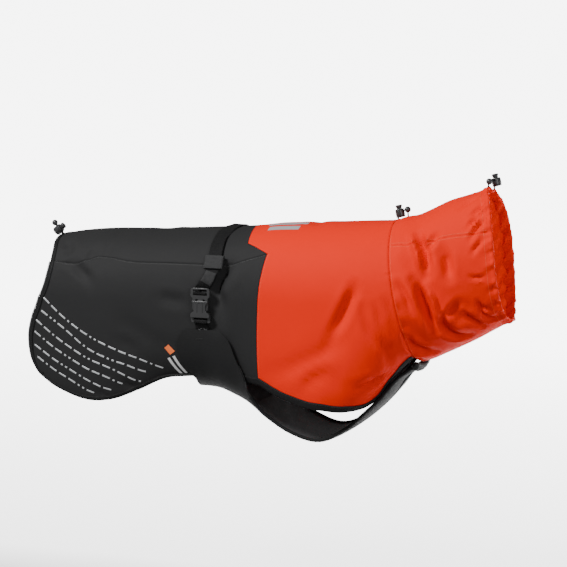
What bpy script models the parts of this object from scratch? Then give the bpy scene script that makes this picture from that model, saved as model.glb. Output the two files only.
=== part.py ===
"""Dog raincoat: hollow cloth shell with collar, belly panel, strap, buckles and cord locks.

Metres, +X towards the head, +Z up, symmetric about the Y = 0 plane; the wearer's right side is -Y.
The origin is in the thickness of the back's cloth, on the ridge where the wearer carries the coat.
"""
import math
from bisect import bisect_right
from collections import namedtuple

import bmesh
import bpy
from mathutils import Matrix, Vector

# --- driving dimensions -------------------------------------------------------------------------
SHELL = 0.0012              # wall of the coat's cloth
LINING = 0.0010             # wall of the grey inner layer of the belly panel
BINDING = 0.0008            # wall of the folded edge bindings
GAP = 0.0003                # between pieces that touch
EASE = 0.0012               # more room inside folded edges, for the flat cells of what they hold
PANEL_EASE = 0.0006         # and on the belly panel, whose cells are smaller
BINDING_WIDTH = 0.0095      # black binding along the front hem
EDGE_WIDTH = 0.007          # folded edge of the rear hem and of the belly panel
LINING_LIFT = 0.0038        # the belly panel lies outside the coat, binding and all
WEBBING_WIDTH = 0.020
WEBBING = 0.0014
CORD = 0.0024               # elastic drawcord
STRAP_LIFT = 0.0012         # the strap stands a little off the cloth
STRAP_SLACK = 0.0028        # and more where it is pulled straight down the flank
PIPING = 0.0016
KEEPER_WIDTH = 0.029
KEEPER_HEIGHT = 0.020
BARREL_RADIUS = 0.0068
BARREL_HEIGHT = 0.0120
PLUNGER_RADIUS = 0.0048
PLUNGER_HEIGHT = 0.0058
BEAD_RADIUS = 0.0046        # moulded bead beside the lock, in which the cord ends
CORD_SLOT = (0.0300, 0.0070, 0.0033)    # through the lock's barrel
CORD_HOLE = 0.0033
BARREL_HOLE = 0.0200        # from the middle of the slot out through the barrel
COLLAR_COLUMNS = 9
CELL = 0.0155               # length of one cell of the cloth grids
YOKE_CELLS = 19             # from tail to front shell, on both sides of the yoke seam
FRONT_CELLS = 13            # from front seam to neck seam
PANEL_CELLS = 7             # from the belly's middle to the edge of the belly panel
TOP_CELLS = 24              # round the collar's upper panel
BOTTOM_CELLS = 48           # round its lower panel
ROUND = 0.100               # radius that turns a section angle into metres of seam

# --- the form: upright sections of the body, along the back --------------------------------------
Section = namedtuple("Section", "x top widest bottom half_width round_top round_bottom")
BODY = (
    Section(-0.400, -0.045, -0.118, -0.352, 0.076, 2.3, 2.8),
    Section(-0.361, -0.032, -0.117, -0.352, 0.081, 2.3, 2.8),
    Section(-0.328, -0.024, -0.116, -0.350, 0.085, 2.3, 2.8),
    Section(-0.273, -0.018, -0.114, -0.338, 0.090, 2.3, 2.8),
    Section(-0.205, -0.0155, -0.112, -0.294, 0.094, 2.3, 2.8),
    Section(-0.145, -0.012, -0.110, -0.248, 0.096, 2.3, 2.8),
    Section(-0.085, -0.008, -0.108, -0.243, 0.097, 2.3, 2.8),
    Section(-0.040, -0.0045, -0.106, -0.257, 0.098, 2.2, 3.0),
    Section(0.000, 0.0008, -0.104, -0.281, 0.099, 2.2, 3.7),
    Section(0.036, 0.0030, -0.103, -0.299, 0.099, 2.15, 4.2),
    Section(0.075, 0.0055, -0.102, -0.3055, 0.099, 2.1, 4.6),
    Section(0.112, 0.008, -0.100, -0.2885, 0.097, 2.1, 4.3),
    Section(0.142, 0.010, -0.097, -0.2645, 0.094, 2.05, 3.6),
    Section(0.168, 0.0115, -0.0935, -0.2375, 0.0905, 2.0, 2.8),
    Section(0.188, 0.0135, -0.092, -0.2115, 0.087, 2.0, 2.3),
    Section(0.214, 0.017, -0.088, -0.189, 0.080, 2.0, 2.0),
)
# --- the form: leaning rings of the collar, as a share of the way from neck seam to rim ----------
Ring = namedtuple("Ring", "share top_x top_z bottom_x bottom_z half_width")
COLLAR = (
    Ring(0.00, 0.173, 0.0120, 0.213, -0.190, 0.086),
    Ring(0.12, 0.188, 0.0175, 0.229, -0.187, 0.084),
    Ring(0.25, 0.205, 0.0210, 0.246, -0.179, 0.080),
    Ring(0.40, 0.225, 0.0300, 0.266, -0.169, 0.075),
    Ring(0.60, 0.252, 0.0435, 0.293, -0.155, 0.069),
    Ring(0.80, 0.279, 0.0525, 0.320, -0.139, 0.063),
    Ring(1.00, 0.304, 0.0620, 0.346, -0.124, 0.058),
)
COLLAR_LENGTH = 0.144
RIM_LEAN = 0.0045           # how far the rim's sides stand forward of a flat ring
RIM_BOW = 0.0115            # and how much more so above than below
# --- seams and hems in side view -----------------------------------------------------------------
Point = namedtuple("Point", "x z")
YOKE_SEAM = (Point(-0.343, -0.062), Point(-0.300, -0.062), Point(-0.262, -0.050), Point(-0.210, -0.055),
             Point(-0.150, -0.054), Point(-0.060, -0.052), Point(-0.030, -0.045), Point(0.003, -0.035))
TAIL_EDGE = (Point(-0.3575, -0.032), Point(-0.350, -0.037), Point(-0.345, -0.047), Point(-0.343, -0.062))
FRONT_TOP = -0.040          # where the front shell starts on the back ridge
FRONT_CORNER = Point(-0.032, -0.023)
FRONT_SEAM = (Point(0.003, -0.035), Point(-0.003, -0.080), Point(-0.006, -0.150), Point(-0.006, -0.2230))
REAR_EDGE = (Point(-0.343, -0.062), Point(-0.345, -0.080), Point(-0.350, -0.100), Point(-0.360, -0.122),
             Point(-0.369, -0.143), Point(-0.3765, -0.170), Point(-0.3770, -0.190), Point(-0.3735, -0.2115),
             Point(-0.3635, -0.2310))
REAR_HEM = (Point(-0.3635, -0.2310), Point(-0.340, -0.2475), Point(-0.306, -0.2615), Point(-0.268, -0.267),
            Point(-0.232, -0.2600), Point(-0.200, -0.2460), Point(-0.165, -0.2290), Point(-0.125, -0.2225),
            Point(-0.065, -0.2185), Point(-0.006, -0.2230))
FRONT_HEM = (Point(-0.006, -0.2230), Point(0.025, -0.239), Point(0.062, -0.251), Point(0.0874, -0.2546),
             Point(0.1058, -0.2569), Point(0.1236, -0.2568), Point(0.1355, -0.2554), Point(0.1462, -0.2520),
             Point(0.1553, -0.2455), Point(0.164, -0.2370), Point(0.1735, -0.2245), Point(0.1849, -0.2075),
             Point(0.1945, -0.1955), Point(0.2085, -0.182))
# --- the belly panel: wings outside the flanks, and a strip between the front legs ---------------
WING_REAR = (Point(-0.112, -0.2235), Point(-0.126, -0.195), Point(-0.131, -0.171), Point(-0.120, -0.150))
WING_TOP = (Point(-0.120, -0.150), Point(-0.0625, -0.146))
WING_FRONT = (Point(-0.0625, -0.146), Point(-0.048, -0.160), Point(-0.038, -0.186), Point(-0.026, -0.214),
              Point(-0.023, -0.236))
Strip = namedtuple("Strip", "x half_width")
STRIP = (Strip(0.008, 0.066), Strip(0.040, 0.064), Strip(0.076, 0.062), Strip(0.110, 0.060),
         Strip(0.142, 0.057), Strip(0.158, 0.051), Strip(0.172, 0.044), Strip(0.185, 0.037),
         Strip(0.197, 0.031), Strip(0.2085, 0.026))
BELLY_REAR = -0.122         # the panel's rear edge under the belly
LINING_START = 0.27         # share of the belly panel's length that has no grey inner layer
BINDING_SPLIT = -2          # the cell from the rear hem's end where its two bindings meet
STRIP_BINDING_START = -0.020
# --- strap, buckles and cord locks ---------------------------------------------------------------
STRAP = (Point(-0.0725, 0.0), Point(-0.0755, -0.012), Point(-0.0770, -0.022), Point(-0.0750, -0.040),
         Point(-0.0740, -0.056), Point(-0.0780, -0.070), Point(-0.0830, -0.078))
STRAP_END = (Point(-0.0745, -0.0640), Point(-0.0770, -0.0700), Point(-0.0805, -0.0760))
KEEPER = Point(-0.0740, -0.052)
BUCKLE = Point(-0.0900, -0.1105)
PLUG_OUTLINE = ((0.0, 0.0250), (0.0130, 0.0250), (0.0148, 0.0230), (0.0148, 0.0115), (0.0118, 0.0100),
                (0.0118, -0.0050), (0.0102, -0.0085), (0.0080, -0.0085), (0.0080, 0.0060),
                (0.0060, 0.0085), (0.0032, 0.0085), (0.0032, -0.0040), (0.0, -0.0040))
SOCKET_OUTLINE = ((0.0, 0.0065), (0.0125, 0.0065), (0.0125, 0.0040), (0.0092, 0.0020),
                  (0.0092, -0.0085), (0.0136, -0.0115), (0.0148, -0.0140), (0.0148, -0.0240),
                  (0.0133, -0.0255), (0.0, -0.0255))
BAR_ROUTE = ((0.0236, 0.0020, 0.0), (0.0213, 0.0024, 0.8), (0.0206, 0.0038, 1.57), (0.0206, 0.0080, 1.57),
             (0.0201, 0.0085, 0.8), (0.0187, 0.0086, 0.0), (0.0173, 0.0085, -0.8), (0.0168, 0.0080, -1.57),
             (0.0168, 0.0024, -1.57))
TAB_X = -0.0890
TAB_LIFT = 0.0007
TAB_UNDER_WING = (-0.160, -0.152, -0.146)
TAB_ROUTE = ((-0.0325, 0.0008, 0.0), (-0.0295, 0.0019, -0.5), (-0.0272, 0.0040, -0.9),
             (-0.0264, 0.0060, -0.9), (-0.0250, 0.0068, -0.2), (-0.0225, 0.0068, 0.2),
             (-0.0217, 0.0064, 0.9), (-0.0212, 0.0052, 1.57), (-0.0212, 0.0032, 1.57))
Hole = namedtuple("Hole", "axis width")     # from a middle out along the axis
# every strand of cord is straight: from the cloth into a bead or a barrel, or from bead to barrel
Lock = namedtuple("Lock", "name centre axis through slot foot bead holes cords")
LOCKS = (
    Lock("tail", (-0.3634, 0.0, -0.0239), (0.77, 0, 0.64), (-0.64, 0, 0.77), 0.0020, (),
         (-0.3695, 0.0, -0.0134), (Hole((0.64, 0, -0.77), 0.0070),),
         (("right", ((-0.3570, -0.0018, -0.0285), (-0.3619, -0.0018, -0.0226), (-0.3691, -0.0018, -0.0139))),
          ("left", ((-0.3570, 0.0018, -0.0285), (-0.3619, 0.0018, -0.0226), (-0.3691, 0.0018, -0.0139))))),
    Lock("neck", (0.1775, 0.0, 0.0219), (-0.22, 0, 0.975), (0.975, 0, 0.22), 0.0030, (-0.20, 0, -0.98),
         (0.18864, 0.0, 0.02749),
         (Hole((-0.975, 0, -0.22), CORD_HOLE), Hole((0.10, 0, -0.995), CORD_HOLE)),
         (("main", ((0.18718, 0.0, 0.02716), (0.17801, 0.0, 0.02509))),
          ("leg", ((0.1895, 0.0, 0.0184), (0.1888, 0.0, 0.0256))),
          ("foot", ((0.17445, 0.0, 0.0131), (0.17624, 0.0, 0.02189))))),
    Lock("rim", (0.3130, 0.0207, 0.0692), (-0.24, 0, 0.97), (-0.430, -0.896, -0.106), 0.0034,
         (-0.187, 0.076, -0.979),
         (0.3057, 0.0072, 0.0709),
         (Hole((0.430, 0.896, 0.106), CORD_HOLE), Hole((-0.12, -0.05, -0.99), CORD_HOLE)),
         (("main", ((0.30635, 0.00854, 0.07106), (0.31166, 0.01962, 0.07237))),
          ("leg", ((0.3047, 0.0068, 0.0645), (0.3053, 0.0070, 0.0688))),
          ("foot", ((0.30968, 0.02172, 0.0594), (0.31162, 0.02093, 0.06956))))),
)
# --- the largest folds: soft troughs (depth > 0) and ridges (depth < 0) --------------------------
Fold = namedtuple("Fold", "side x0 z0 x1 z1 half_width depth")
FOLDS = (
    Fold(-1, 0.232, -0.052, 0.252, -0.128, 0.011, 0.0075),
    Fold(-1, 0.206, -0.034, 0.232, -0.060, 0.009, 0.0040),
    Fold(-1, 0.220, 0.010, 0.238, -0.032, 0.010, 0.0030),
    Fold(-1, 0.262, -0.018, 0.270, -0.050, 0.010, 0.0030),
    Fold(-1, 0.262, -0.136, 0.290, -0.098, 0.009, 0.0035),
    Fold(-1, 0.205, -0.125, 0.236, -0.160, 0.012, 0.0040),
    Fold(1, 0.238, -0.040, 0.256, -0.120, 0.012, 0.0070),
    Fold(1, 0.262, -0.080, 0.286, -0.130, 0.010, 0.0040),
    Fold(1, 0.214, -0.010, 0.240, -0.050, 0.010, 0.0035),
    Fold(-1, 0.140, -0.085, 0.100, -0.165, 0.016, 0.0030),
    Fold(-1, 0.015, -0.205, 0.118, -0.158, 0.013, 0.0030),
    Fold(-1, 0.150, -0.228, 0.186, -0.212, 0.010, 0.0025),
    Fold(1, 0.150, -0.070, 0.090, -0.150, 0.017, 0.0030),
    Fold(1, 0.020, -0.190, 0.110, -0.170, 0.014, 0.0028),
    Fold(-1, -0.300, -0.062, -0.272, -0.088, 0.012, 0.0035),
    Fold(-1, -0.245, -0.030, -0.262, -0.060, 0.012, 0.0030),
    Fold(-1, -0.215, -0.145, -0.150, -0.178, 0.014, 0.0025),
    Fold(1, -0.305, -0.060, -0.262, -0.095, 0.013, 0.0035),
    Fold(1, -0.210, -0.120, -0.160, -0.170, 0.015, 0.0028),
)
RIM_GATHERS = 22            # puckers that the rim's drawcord pulls, all round
RIM_GATHER_DEPTH = 0.0016
RIM_GATHER_REACH = 0.16     # share of the collar that they run down
NECK_GATHERS = 26
NECK_GATHER_DEPTH = 0.0014
NECK_GATHER_REACH = 0.14


# --- small helpers -------------------------------------------------------------------------------
def smooth_value(knots, values, at):
    """Cubic through the knots, with slopes taken from the neighbours."""
    last = len(knots) - 1
    at = min(max(at, knots[0]), knots[last])
    i = min(max(bisect_right(knots, at) - 1, 0), last - 1)

    def slope(k):
        low, high = max(k - 1, 0), min(k + 1, last)
        return (values[high] - values[low]) / (knots[high] - knots[low])

    span = knots[i + 1] - knots[i]
    t = (at - knots[i]) / span
    return ((2 * t ** 3 - 3 * t ** 2 + 1) * values[i] + (t ** 3 - 2 * t ** 2 + t) * span * slope(i)
            + (3 * t ** 2 - 2 * t ** 3) * values[i + 1] + (t ** 3 - t ** 2) * span * slope(i + 1))


def table(rows):
    """A function from the rows' first column to all the others."""
    knots = [row[0] for row in rows]
    columns = list(zip(*rows))[1:]
    return lambda at: [smooth_value(knots, column, at) for column in columns]


def fade(t):
    t = min(max(t, 0.0), 1.0)
    return t * t * (3 - 2 * t)


body_values = table(BODY)
ring_values = table(COLLAR)


def bulge(angle, roundness):
    """Across and up shares of a rounded section at an angle from its top."""
    across, up = abs(math.sin(angle)), math.cos(angle)
    reach = (across ** roundness + abs(up) ** roundness) ** (-1.0 / roundness)
    return math.copysign(across * reach, math.sin(angle)), up * reach


# --- the form ------------------------------------------------------------------------------------
def plain_body(x, angle):
    top, widest, bottom, half_width, round_top, round_bottom = body_values(x)
    upper = math.cos(angle) >= 0
    across, up = bulge(angle, round_top if upper else round_bottom)
    height = top - widest if upper else widest - bottom
    return Vector((x, half_width * across, widest + height * up))


def neck_seam_x(angle):
    """The neck seam lies in a leaning plane."""
    x = COLLAR[0].top_x
    lean = (COLLAR[0].bottom_x - COLLAR[0].top_x) / (COLLAR[0].top_z - COLLAR[0].bottom_z)
    for _ in range(12):
        x = COLLAR[0].top_x + (COLLAR[0].top_z - plain_body(x, angle).z) * lean
    return x


def plain_ring(share, angle):
    top_x, top_z, bottom_x, bottom_z, half_width = ring_values(share)
    across, up = bulge(angle, 2.0 + 0.15 * share)
    lean = abs(math.sin(angle)) * (RIM_LEAN + RIM_BOW * math.cos(angle)) * fade(share)
    return Vector(((top_x + bottom_x) / 2 + (top_x - bottom_x) / 2 * up + lean, half_width * across,
                   (top_z + bottom_z) / 2 + (top_z - bottom_z) / 2 * up))


def plain_collar(share, angle):
    joint = plain_body(neck_seam_x(angle), angle) - plain_ring(0.0, angle)
    return plain_ring(share, angle) + joint * (1 - fade(share / 0.5))


def across_form(form, along, angle):
    """Outward direction of the plain form."""
    step, turn = 0.001 if form is plain_body else 0.01, 0.01
    ahead = form(along + step, angle) - form(along - step, angle)
    round_way = form(along, angle + turn) - form(along, angle - turn)
    return ahead.cross(round_way).normalized()


def outward(form, along, angle):
    """As above, turned evenly from body to collar at the neck seam."""
    own = across_form(form, along, angle)
    if form is plain_body:
        away = (neck_seam_x(angle) - along) / 0.020
        other = across_form(plain_collar, 0.02, angle) if away < 1 else own
    else:
        away = along * COLLAR_LENGTH / 0.020
        other = across_form(plain_body, neck_seam_x(angle) - 0.002, angle) if away < 1 else own
    return own.lerp(other, 0.5 * (1 - fade(away))).normalized()


def fold_depth(point, angle):
    depth = 0.0
    for fold in FOLDS:
        if fold.side * angle < 0:
            continue
        run = Vector((fold.x1 - fold.x0, fold.z1 - fold.z0))
        place = Vector((point.x - fold.x0, point.z - fold.z0))
        share = place.dot(run) / run.length_squared
        beside = abs(place.x * run.y - place.y * run.x) / run.length / fold.half_width
        beyond = max(0.0, -share, share - 1) * run.length / fold.half_width
        along = min(max(share, 0.0), 1.0)
        bend = 0.55 + 0.45 * math.sin(math.pi * along)
        depth += fold.depth * bend * math.exp(-beside ** 2 - beyond ** 2)
    return depth


def gather_depth(share, angle):
    rim = RIM_GATHER_DEPTH * math.cos(RIM_GATHERS * angle + 0.9 * math.sin(3 * angle))
    neck = NECK_GATHER_DEPTH * math.cos(NECK_GATHERS * angle + 1.3 * math.sin(2 * angle))
    neck *= fade((abs(angle) - 0.9) / 0.7)
    start = fade(share / 0.03) * (1 - fade(share / NECK_GATHER_REACH))
    return rim * (1 - fade((1 - share) / RIM_GATHER_REACH)) + neck * start


def skin(form, along, angle, lift=0.0):
    """A point of the cloth's outside, moved out by lift, and its outward direction."""
    point = form(along, angle)
    direction = outward(form, along, angle)
    depth = fold_depth(point, angle)
    if form is plain_collar:
        depth += gather_depth(along, angle)
    return point + direction * (lift - depth), direction


# --- seams as paths over the form: (x, angle) ----------------------------------------------------
def angle_at_height(x, z):
    top, widest, bottom, _, round_top, round_bottom = body_values(x)
    upper = z > widest
    up = (z - widest) / ((top - widest) if upper else (widest - bottom))
    up = min(max(up, -0.9999), 0.9999)
    roundness = round_top if upper else round_bottom
    return math.atan2((1 - abs(up) ** roundness) ** (1 / roundness), up)


def angle_at_width(x, width):
    _, _, _, half_width, _, round_bottom = body_values(x)
    across = min(width / half_width, 0.999)
    return math.atan2(across, -(1 - across ** round_bottom) ** (1 / round_bottom))


def on_form(points):
    return [Vector((p.x, ROUND * angle_at_height(p.x, p.z))) for p in points]


def curve_through(points, steps=6):
    """A smooth curve through a few points of the (x, angle) plane."""
    lengths = [0.0]
    for first, second in zip(points, points[1:]):
        lengths.append(lengths[-1] + (second - first).length)
    columns = list(zip(*points))
    count = steps * (len(points) - 1)
    return [Vector([smooth_value(lengths, column, lengths[-1] * k / count) for column in columns])
            for k in range(count + 1)]


def place_on(path, share):
    """The point at a share of a path's length."""
    lengths = [0.0]
    for first, second in zip(path, path[1:]):
        lengths.append(lengths[-1] + (second - first).length)
    at = min(max(share, 0.0), 1.0) * lengths[-1]
    i = min(max(bisect_right(lengths, at) - 1, 0), len(path) - 2)
    span = lengths[i + 1] - lengths[i]
    return path[i].lerp(path[i + 1], (at - lengths[i]) / span if span else 0.0)


def patch_between(top, bottom, rear, front):
    """A patch filled in between four edge paths; rear and front run from top to bottom."""
    def place(along, down):
        upper, lower = place_on(top, along), place_on(bottom, along)
        back, fore = place_on(rear, down), place_on(front, down)
        corners = ((1 - down) * ((1 - along) * rear[0] + along * front[0])
                   + down * ((1 - along) * rear[-1] + along * front[-1]))
        return (1 - down) * upper + down * lower + (1 - along) * back + along * fore - corners
    return place


def ridge(start, end):
    return [Vector((start, 0.0)), Vector((end, 0.0))]


hook_angle = ROUND * angle_at_height(*FRONT_CORNER)
front_joint = on_form(FRONT_SEAM[:1])[0]
front_top_edge = [Vector((FRONT_TOP, 0.0)), Vector((FRONT_CORNER.x, hook_angle)), front_joint]
front_seam = curve_through(on_form(FRONT_SEAM))
yoke_seam = curve_through(on_form(YOKE_SEAM))
tail_edge = curve_through([Vector((TAIL_EDGE[0].x, 0.0))] + on_form(TAIL_EDGE[1:]))
rear_edge = curve_through(on_form(REAR_EDGE))
rear_hem = curve_through(on_form(REAR_HEM))
front_hem = curve_through(on_form(FRONT_HEM))
hem_end = front_hem[-1]
neck_seam = [Vector((neck_seam_x(k / 24 * hem_end.y / ROUND), k / 24 * hem_end.y)) for k in range(25)]
front_hem[-1] = neck_seam[-1]
strip_edge = [Vector((s.x, ROUND * angle_at_width(s.x, s.half_width))) for s in STRIP]
wing_front = curve_through(on_form(WING_FRONT) + strip_edge)
wing_rear = curve_through(on_form(WING_REAR))
strip_tip = wing_front[-1]
shell_rear = front_top_edge + front_seam[1:]
panel_edge = on_form(WING_TOP) + wing_front[1:]


def shares_through(path, corners, spacing):
    """Shares of a path's length for the rows of a grid, with one on each corner."""
    lengths = [0.0]
    for first, second in zip(path, path[1:]):
        lengths.append(lengths[-1] + (second - first).length)
    stops = [0.0] + [lengths[path.index(corner)] for corner in corners] + [lengths[-1]]
    shares = [0.0]
    for start, end in zip(stops, stops[1:]):
        count = max(2, round((end - start) / spacing))
        shares += [(start + (end - start) * (k + 1) / count) / lengths[-1] for k in range(count)]
    return shares


def even_shares(count):
    return [k / count for k in range(count + 1)]


yoke_along = even_shares(YOKE_CELLS)
yoke_down = shares_through(front_top_edge, front_top_edge[1:2], CELL)
side_down = shares_through(front_seam, [], CELL)
front_along = even_shares(FRONT_CELLS)
front_down = shares_through(shell_rear, shell_rear[1:3], CELL)
panel_along = shares_through(panel_edge, panel_edge[1:2], CELL)
panel_down = even_shares(PANEL_CELLS)
belly_line = [Vector((BELLY_REAR, math.pi * ROUND)), Vector((strip_tip.x + 0.002, math.pi * ROUND))]
yoke_patch = patch_between(ridge(TAIL_EDGE[0].x, FRONT_TOP), yoke_seam, tail_edge, front_top_edge)
side_patch = patch_between(yoke_seam, rear_hem, rear_edge, front_seam)
front_patch = patch_between(ridge(FRONT_TOP, COLLAR[0].top_x), front_hem, shell_rear, neck_seam)
belly_patch = patch_between(belly_line, panel_edge, [belly_line[0]] + wing_rear, [belly_line[1], strip_tip])


# --- making cloth --------------------------------------------------------------------------------
def material(name, color, roughness, metallic=0.0):
    made = bpy.data.materials.get(name) or bpy.data.materials.new(name)
    made.use_nodes = True
    shader = made.node_tree.nodes["Principled BSDF"]
    shader.inputs["Base Color"].default_value = (*color, 1.0)
    shader.inputs["Roughness"].default_value = roughness
    shader.inputs["Metallic"].default_value = metallic
    made.diffuse_color = (*color, 1.0)
    return made


def materials():
    return {
        "orange": material("orange_cloth", (0.85, 0.10, 0.025), 0.55),
        "black": material("black_cloth", (0.030, 0.030, 0.031), 0.6),
        "grey": material("grey_lining", (0.32, 0.32, 0.33), 0.6),
        "webbing": material("black_webbing", (0.012, 0.012, 0.013), 0.75),
        "keeper": material("grey_webbing", (0.06, 0.06, 0.062), 0.7),
        "reflective": material("reflective_tape", (0.60, 0.61, 0.62), 0.4),
        "plastic": material("black_plastic", (0.018, 0.018, 0.020), 0.35),
        "cord": material("elastic_cord", (0.020, 0.020, 0.021), 0.8),
    }


def new_object(name, bm, finish, collection):
    bmesh.ops.recalc_face_normals(bm, faces=bm.faces)
    if bm.calc_volume(signed=True) < 0:
        bmesh.ops.reverse_faces(bm, faces=bm.faces)
    mesh = bpy.data.meshes.new(name)
    bm.to_mesh(mesh)
    bm.free()
    mesh.materials.append(finish)
    made = bpy.data.objects.new(name, mesh)
    collection.objects.link(made)
    return made


def cloth(name, columns, rows, place, thickness, finish, collection):
    """A wall whose outside is place(along, across); the inside lies a thickness under it."""
    bm = bmesh.new()
    bmesh.ops.create_grid(bm, x_segments=columns, y_segments=rows, size=0.5)
    copied = bmesh.ops.extrude_face_region(bm, geom=bm.faces[:], use_keep_orig=True)["geom"]
    inside = {vert for vert in copied if isinstance(vert, bmesh.types.BMVert)}
    for vert in bm.verts:
        point, direction = place(vert.co.x + 0.5, vert.co.y + 0.5)
        vert.co = point - direction * (thickness if vert in inside else 0.0)
    return new_object(name, bm, finish, collection)


def loft(name, rings, closed, finish, collection):
    """A tube through rings of points, joined end to end or capped."""
    bm = bmesh.new()
    loops = [[bm.verts.new(point) for point in ring] for ring in rings]
    pairs = list(zip(loops, loops[1:] + loops[:1] if closed else loops[1:]))
    for first, second in pairs:
        for k in range(len(first)):
            n = (k + 1) % len(first)
            bm.faces.new((first[k], first[n], second[n], second[k]))
    if not closed:
        bm.faces.new(loops[0])
        bm.faces.new(loops[-1])
    return new_object(name, bm, finish, collection)


Wall = namedtuple("Wall", "lift thickness side finish")     # side 0 spans the middle


def body_panel(name, patch, shares, seams, wall, collection):
    """A panel of the body; seams holds each sewn edge's allowance as (x, angle) in halves of GAP."""
    along_shares, down_shares = shares
    columns = len(along_shares) - 1
    rows = len(down_shares) - 1

    def place(along, across):
        column = round(along * columns)
        row = round((2 * across - 1) * rows) if wall.side == 0 else round(across * rows)
        way = wall.side or (-1 if row < 0 else 1)
        spot = patch(along_shares[column], down_shares[abs(row)])
        edges = (("rear", column == 0), ("front", column == columns),
                 ("top", row == 0 and wall.side != 0), ("bottom", abs(row) == rows))
        for edge, reached in edges:
            if reached:
                spot = spot + Vector(seams.get(edge, (0, 0))) * GAP / 2
        return skin(plain_body, spot.x, way * spot.y / ROUND, wall.lift)

    both = 2 if wall.side == 0 else 1
    return cloth(name, columns, rows * both, place, wall.thickness, wall.finish, collection)


def back_yoke(finish, collection):
    seams = {"front": (-1, 1), "bottom": (0, -1)}
    wall = Wall(0.0, SHELL, 0, finish)
    body_panel("back_yoke", yoke_patch, (yoke_along, yoke_down), seams, wall, collection)


def side_panel(name, side, finish, collection):
    seams = {"front": (-1, 0), "top": (0, 1)}
    wall = Wall(0.0, SHELL, side, finish)
    body_panel(name, side_patch, (yoke_along, side_down), seams, wall, collection)


def front_shell(finish, collection):
    seams = {"rear": (1, -1), "front": (-1, 0)}
    wall = Wall(0.0, SHELL, 0, finish)
    body_panel("front_shell", front_patch, (front_along, front_down), seams, wall, collection)


def belly_pieces(finishes, collection):
    """The belly panel, and its grey inner layer under the front part, made from the same points."""
    outer = Wall(LINING_LIFT + LINING + GAP + SHELL, SHELL, 0, finishes["black"])
    body_panel("belly_panel", belly_patch, (panel_along, panel_down), {}, outer, collection)
    lined = [share for share in panel_along if share > LINING_START]
    inner = Wall(LINING_LIFT + LINING, LINING, 0, finishes["grey"])
    body_panel("belly_lining", belly_patch, (lined, panel_down), {}, inner, collection)


def collar_seam_angle(share):
    """The collar's lengthwise seam climbs a little towards the neck."""
    return 0.77 + 0.38 * share


def collar_angle(row, share):
    """The angle of a row of the collar's cells; rows count on from the upper panel to the lower."""
    seam = collar_seam_angle(share)
    if row <= TOP_CELLS:
        return seam * (2 * row / TOP_CELLS - 1)
    return seam + 2 * (math.pi - seam) * (row - TOP_CELLS) / BOTTOM_CELLS


def signed(angle):
    return angle - 2 * math.pi if angle > math.pi else angle


def collar_panel(name, upper, finish, collection):
    first, rows = (0, TOP_CELLS) if upper else (TOP_CELLS, BOTTOM_CELLS)
    start = GAP / 2 / COLLAR_LENGTH

    def place(along, across):
        share = start + (1 - start) * along
        row = round(across * rows)
        allowance = (row == 0) - (row == rows)
        angle = collar_angle(first + row, share) + allowance * GAP / 2 / ROUND
        if not upper and row == 0:
            angle = collar_seam_angle(share) + GAP / 2 / ROUND
        return skin(plain_collar, share, signed(angle))

    cloth(name, COLLAR_COLUMNS, rows, place, SHELL, finish, collection)


def collar_hem(finish, collection):
    """The rim's turned hem: a narrow roll outside and a wider facing inside, where the cord runs."""
    out, under = GAP + BINDING, -SHELL - GAP - EASE
    profile = ((0.004, out + EASE / 2), (-out, out), (-out, under - BINDING), (0.012, under - BINDING),
               (0.012, under), (-GAP, under), (-GAP, GAP), (0.004, GAP + EASE / 2))
    rings = []
    for row in range(TOP_CELLS + BOTTOM_CELLS):
        ring = []
        for back, lift in profile:
            share = 1 - max(back, 0.0) / COLLAR_LENGTH
            angle = signed(collar_angle(row, share))
            point, direction = skin(plain_collar, share, angle, lift)
            if back < 0:
                inner = skin(plain_collar, 0.98, angle, lift)[0]
                point = point + (point - inner).normalized() * -back
            ring.append(point)
        rings.append(ring)
    loft("collar_hem", rings, True, finish, collection)


# --- folded edges --------------------------------------------------------------------------------
def edge_point(pair, side, across, lift):
    """A point in from a raw edge, along the cell between the panel's own points there."""
    here, inside = (skin(plain_body, spot.x, side * spot.y / ROUND, lift)[0] for spot in pair)
    return here + (inside - here).normalized() * across


def row_pairs(patch, along, down, columns):
    """The bottom edge's points of a panel, each with the one above it."""
    return [(patch(along[c], down[-1]), patch(along[c], down[-2])) for c in columns]


def column_pairs(patch, along, down, rows):
    """The rear edge's points of a panel, each with the one in front of it."""
    return [(patch(along[0], down[r]), patch(along[1], down[r])) for r in rows]


def moved(pair, step):
    return pair[0] + step, pair[1] + step


def mirrored(pair):
    return tuple(Vector((spot.x, -spot.y)) for spot in pair)


def folded_edge(name, pairs, side, width, stack, finish, collection):
    """A strip folded round a raw edge; stack is the cloth's lowest and highest lift, and the ease."""
    low, high, ease = stack
    inner_width = width * 0.7
    edge = GAP + BINDING
    above, below = high + ease * 0.8, low - ease
    profile = ((width, above + edge), (-edge, high + edge), (-edge, below - edge), (inner_width, below - edge),
               (inner_width, below - GAP), (-GAP, below - GAP), (-GAP, high + GAP), (width, above + GAP))
    rings = [[edge_point(pair, side, across, lift) for across, lift in profile] for pair in pairs]
    loft(name, rings, False, finish, collection)


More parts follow.
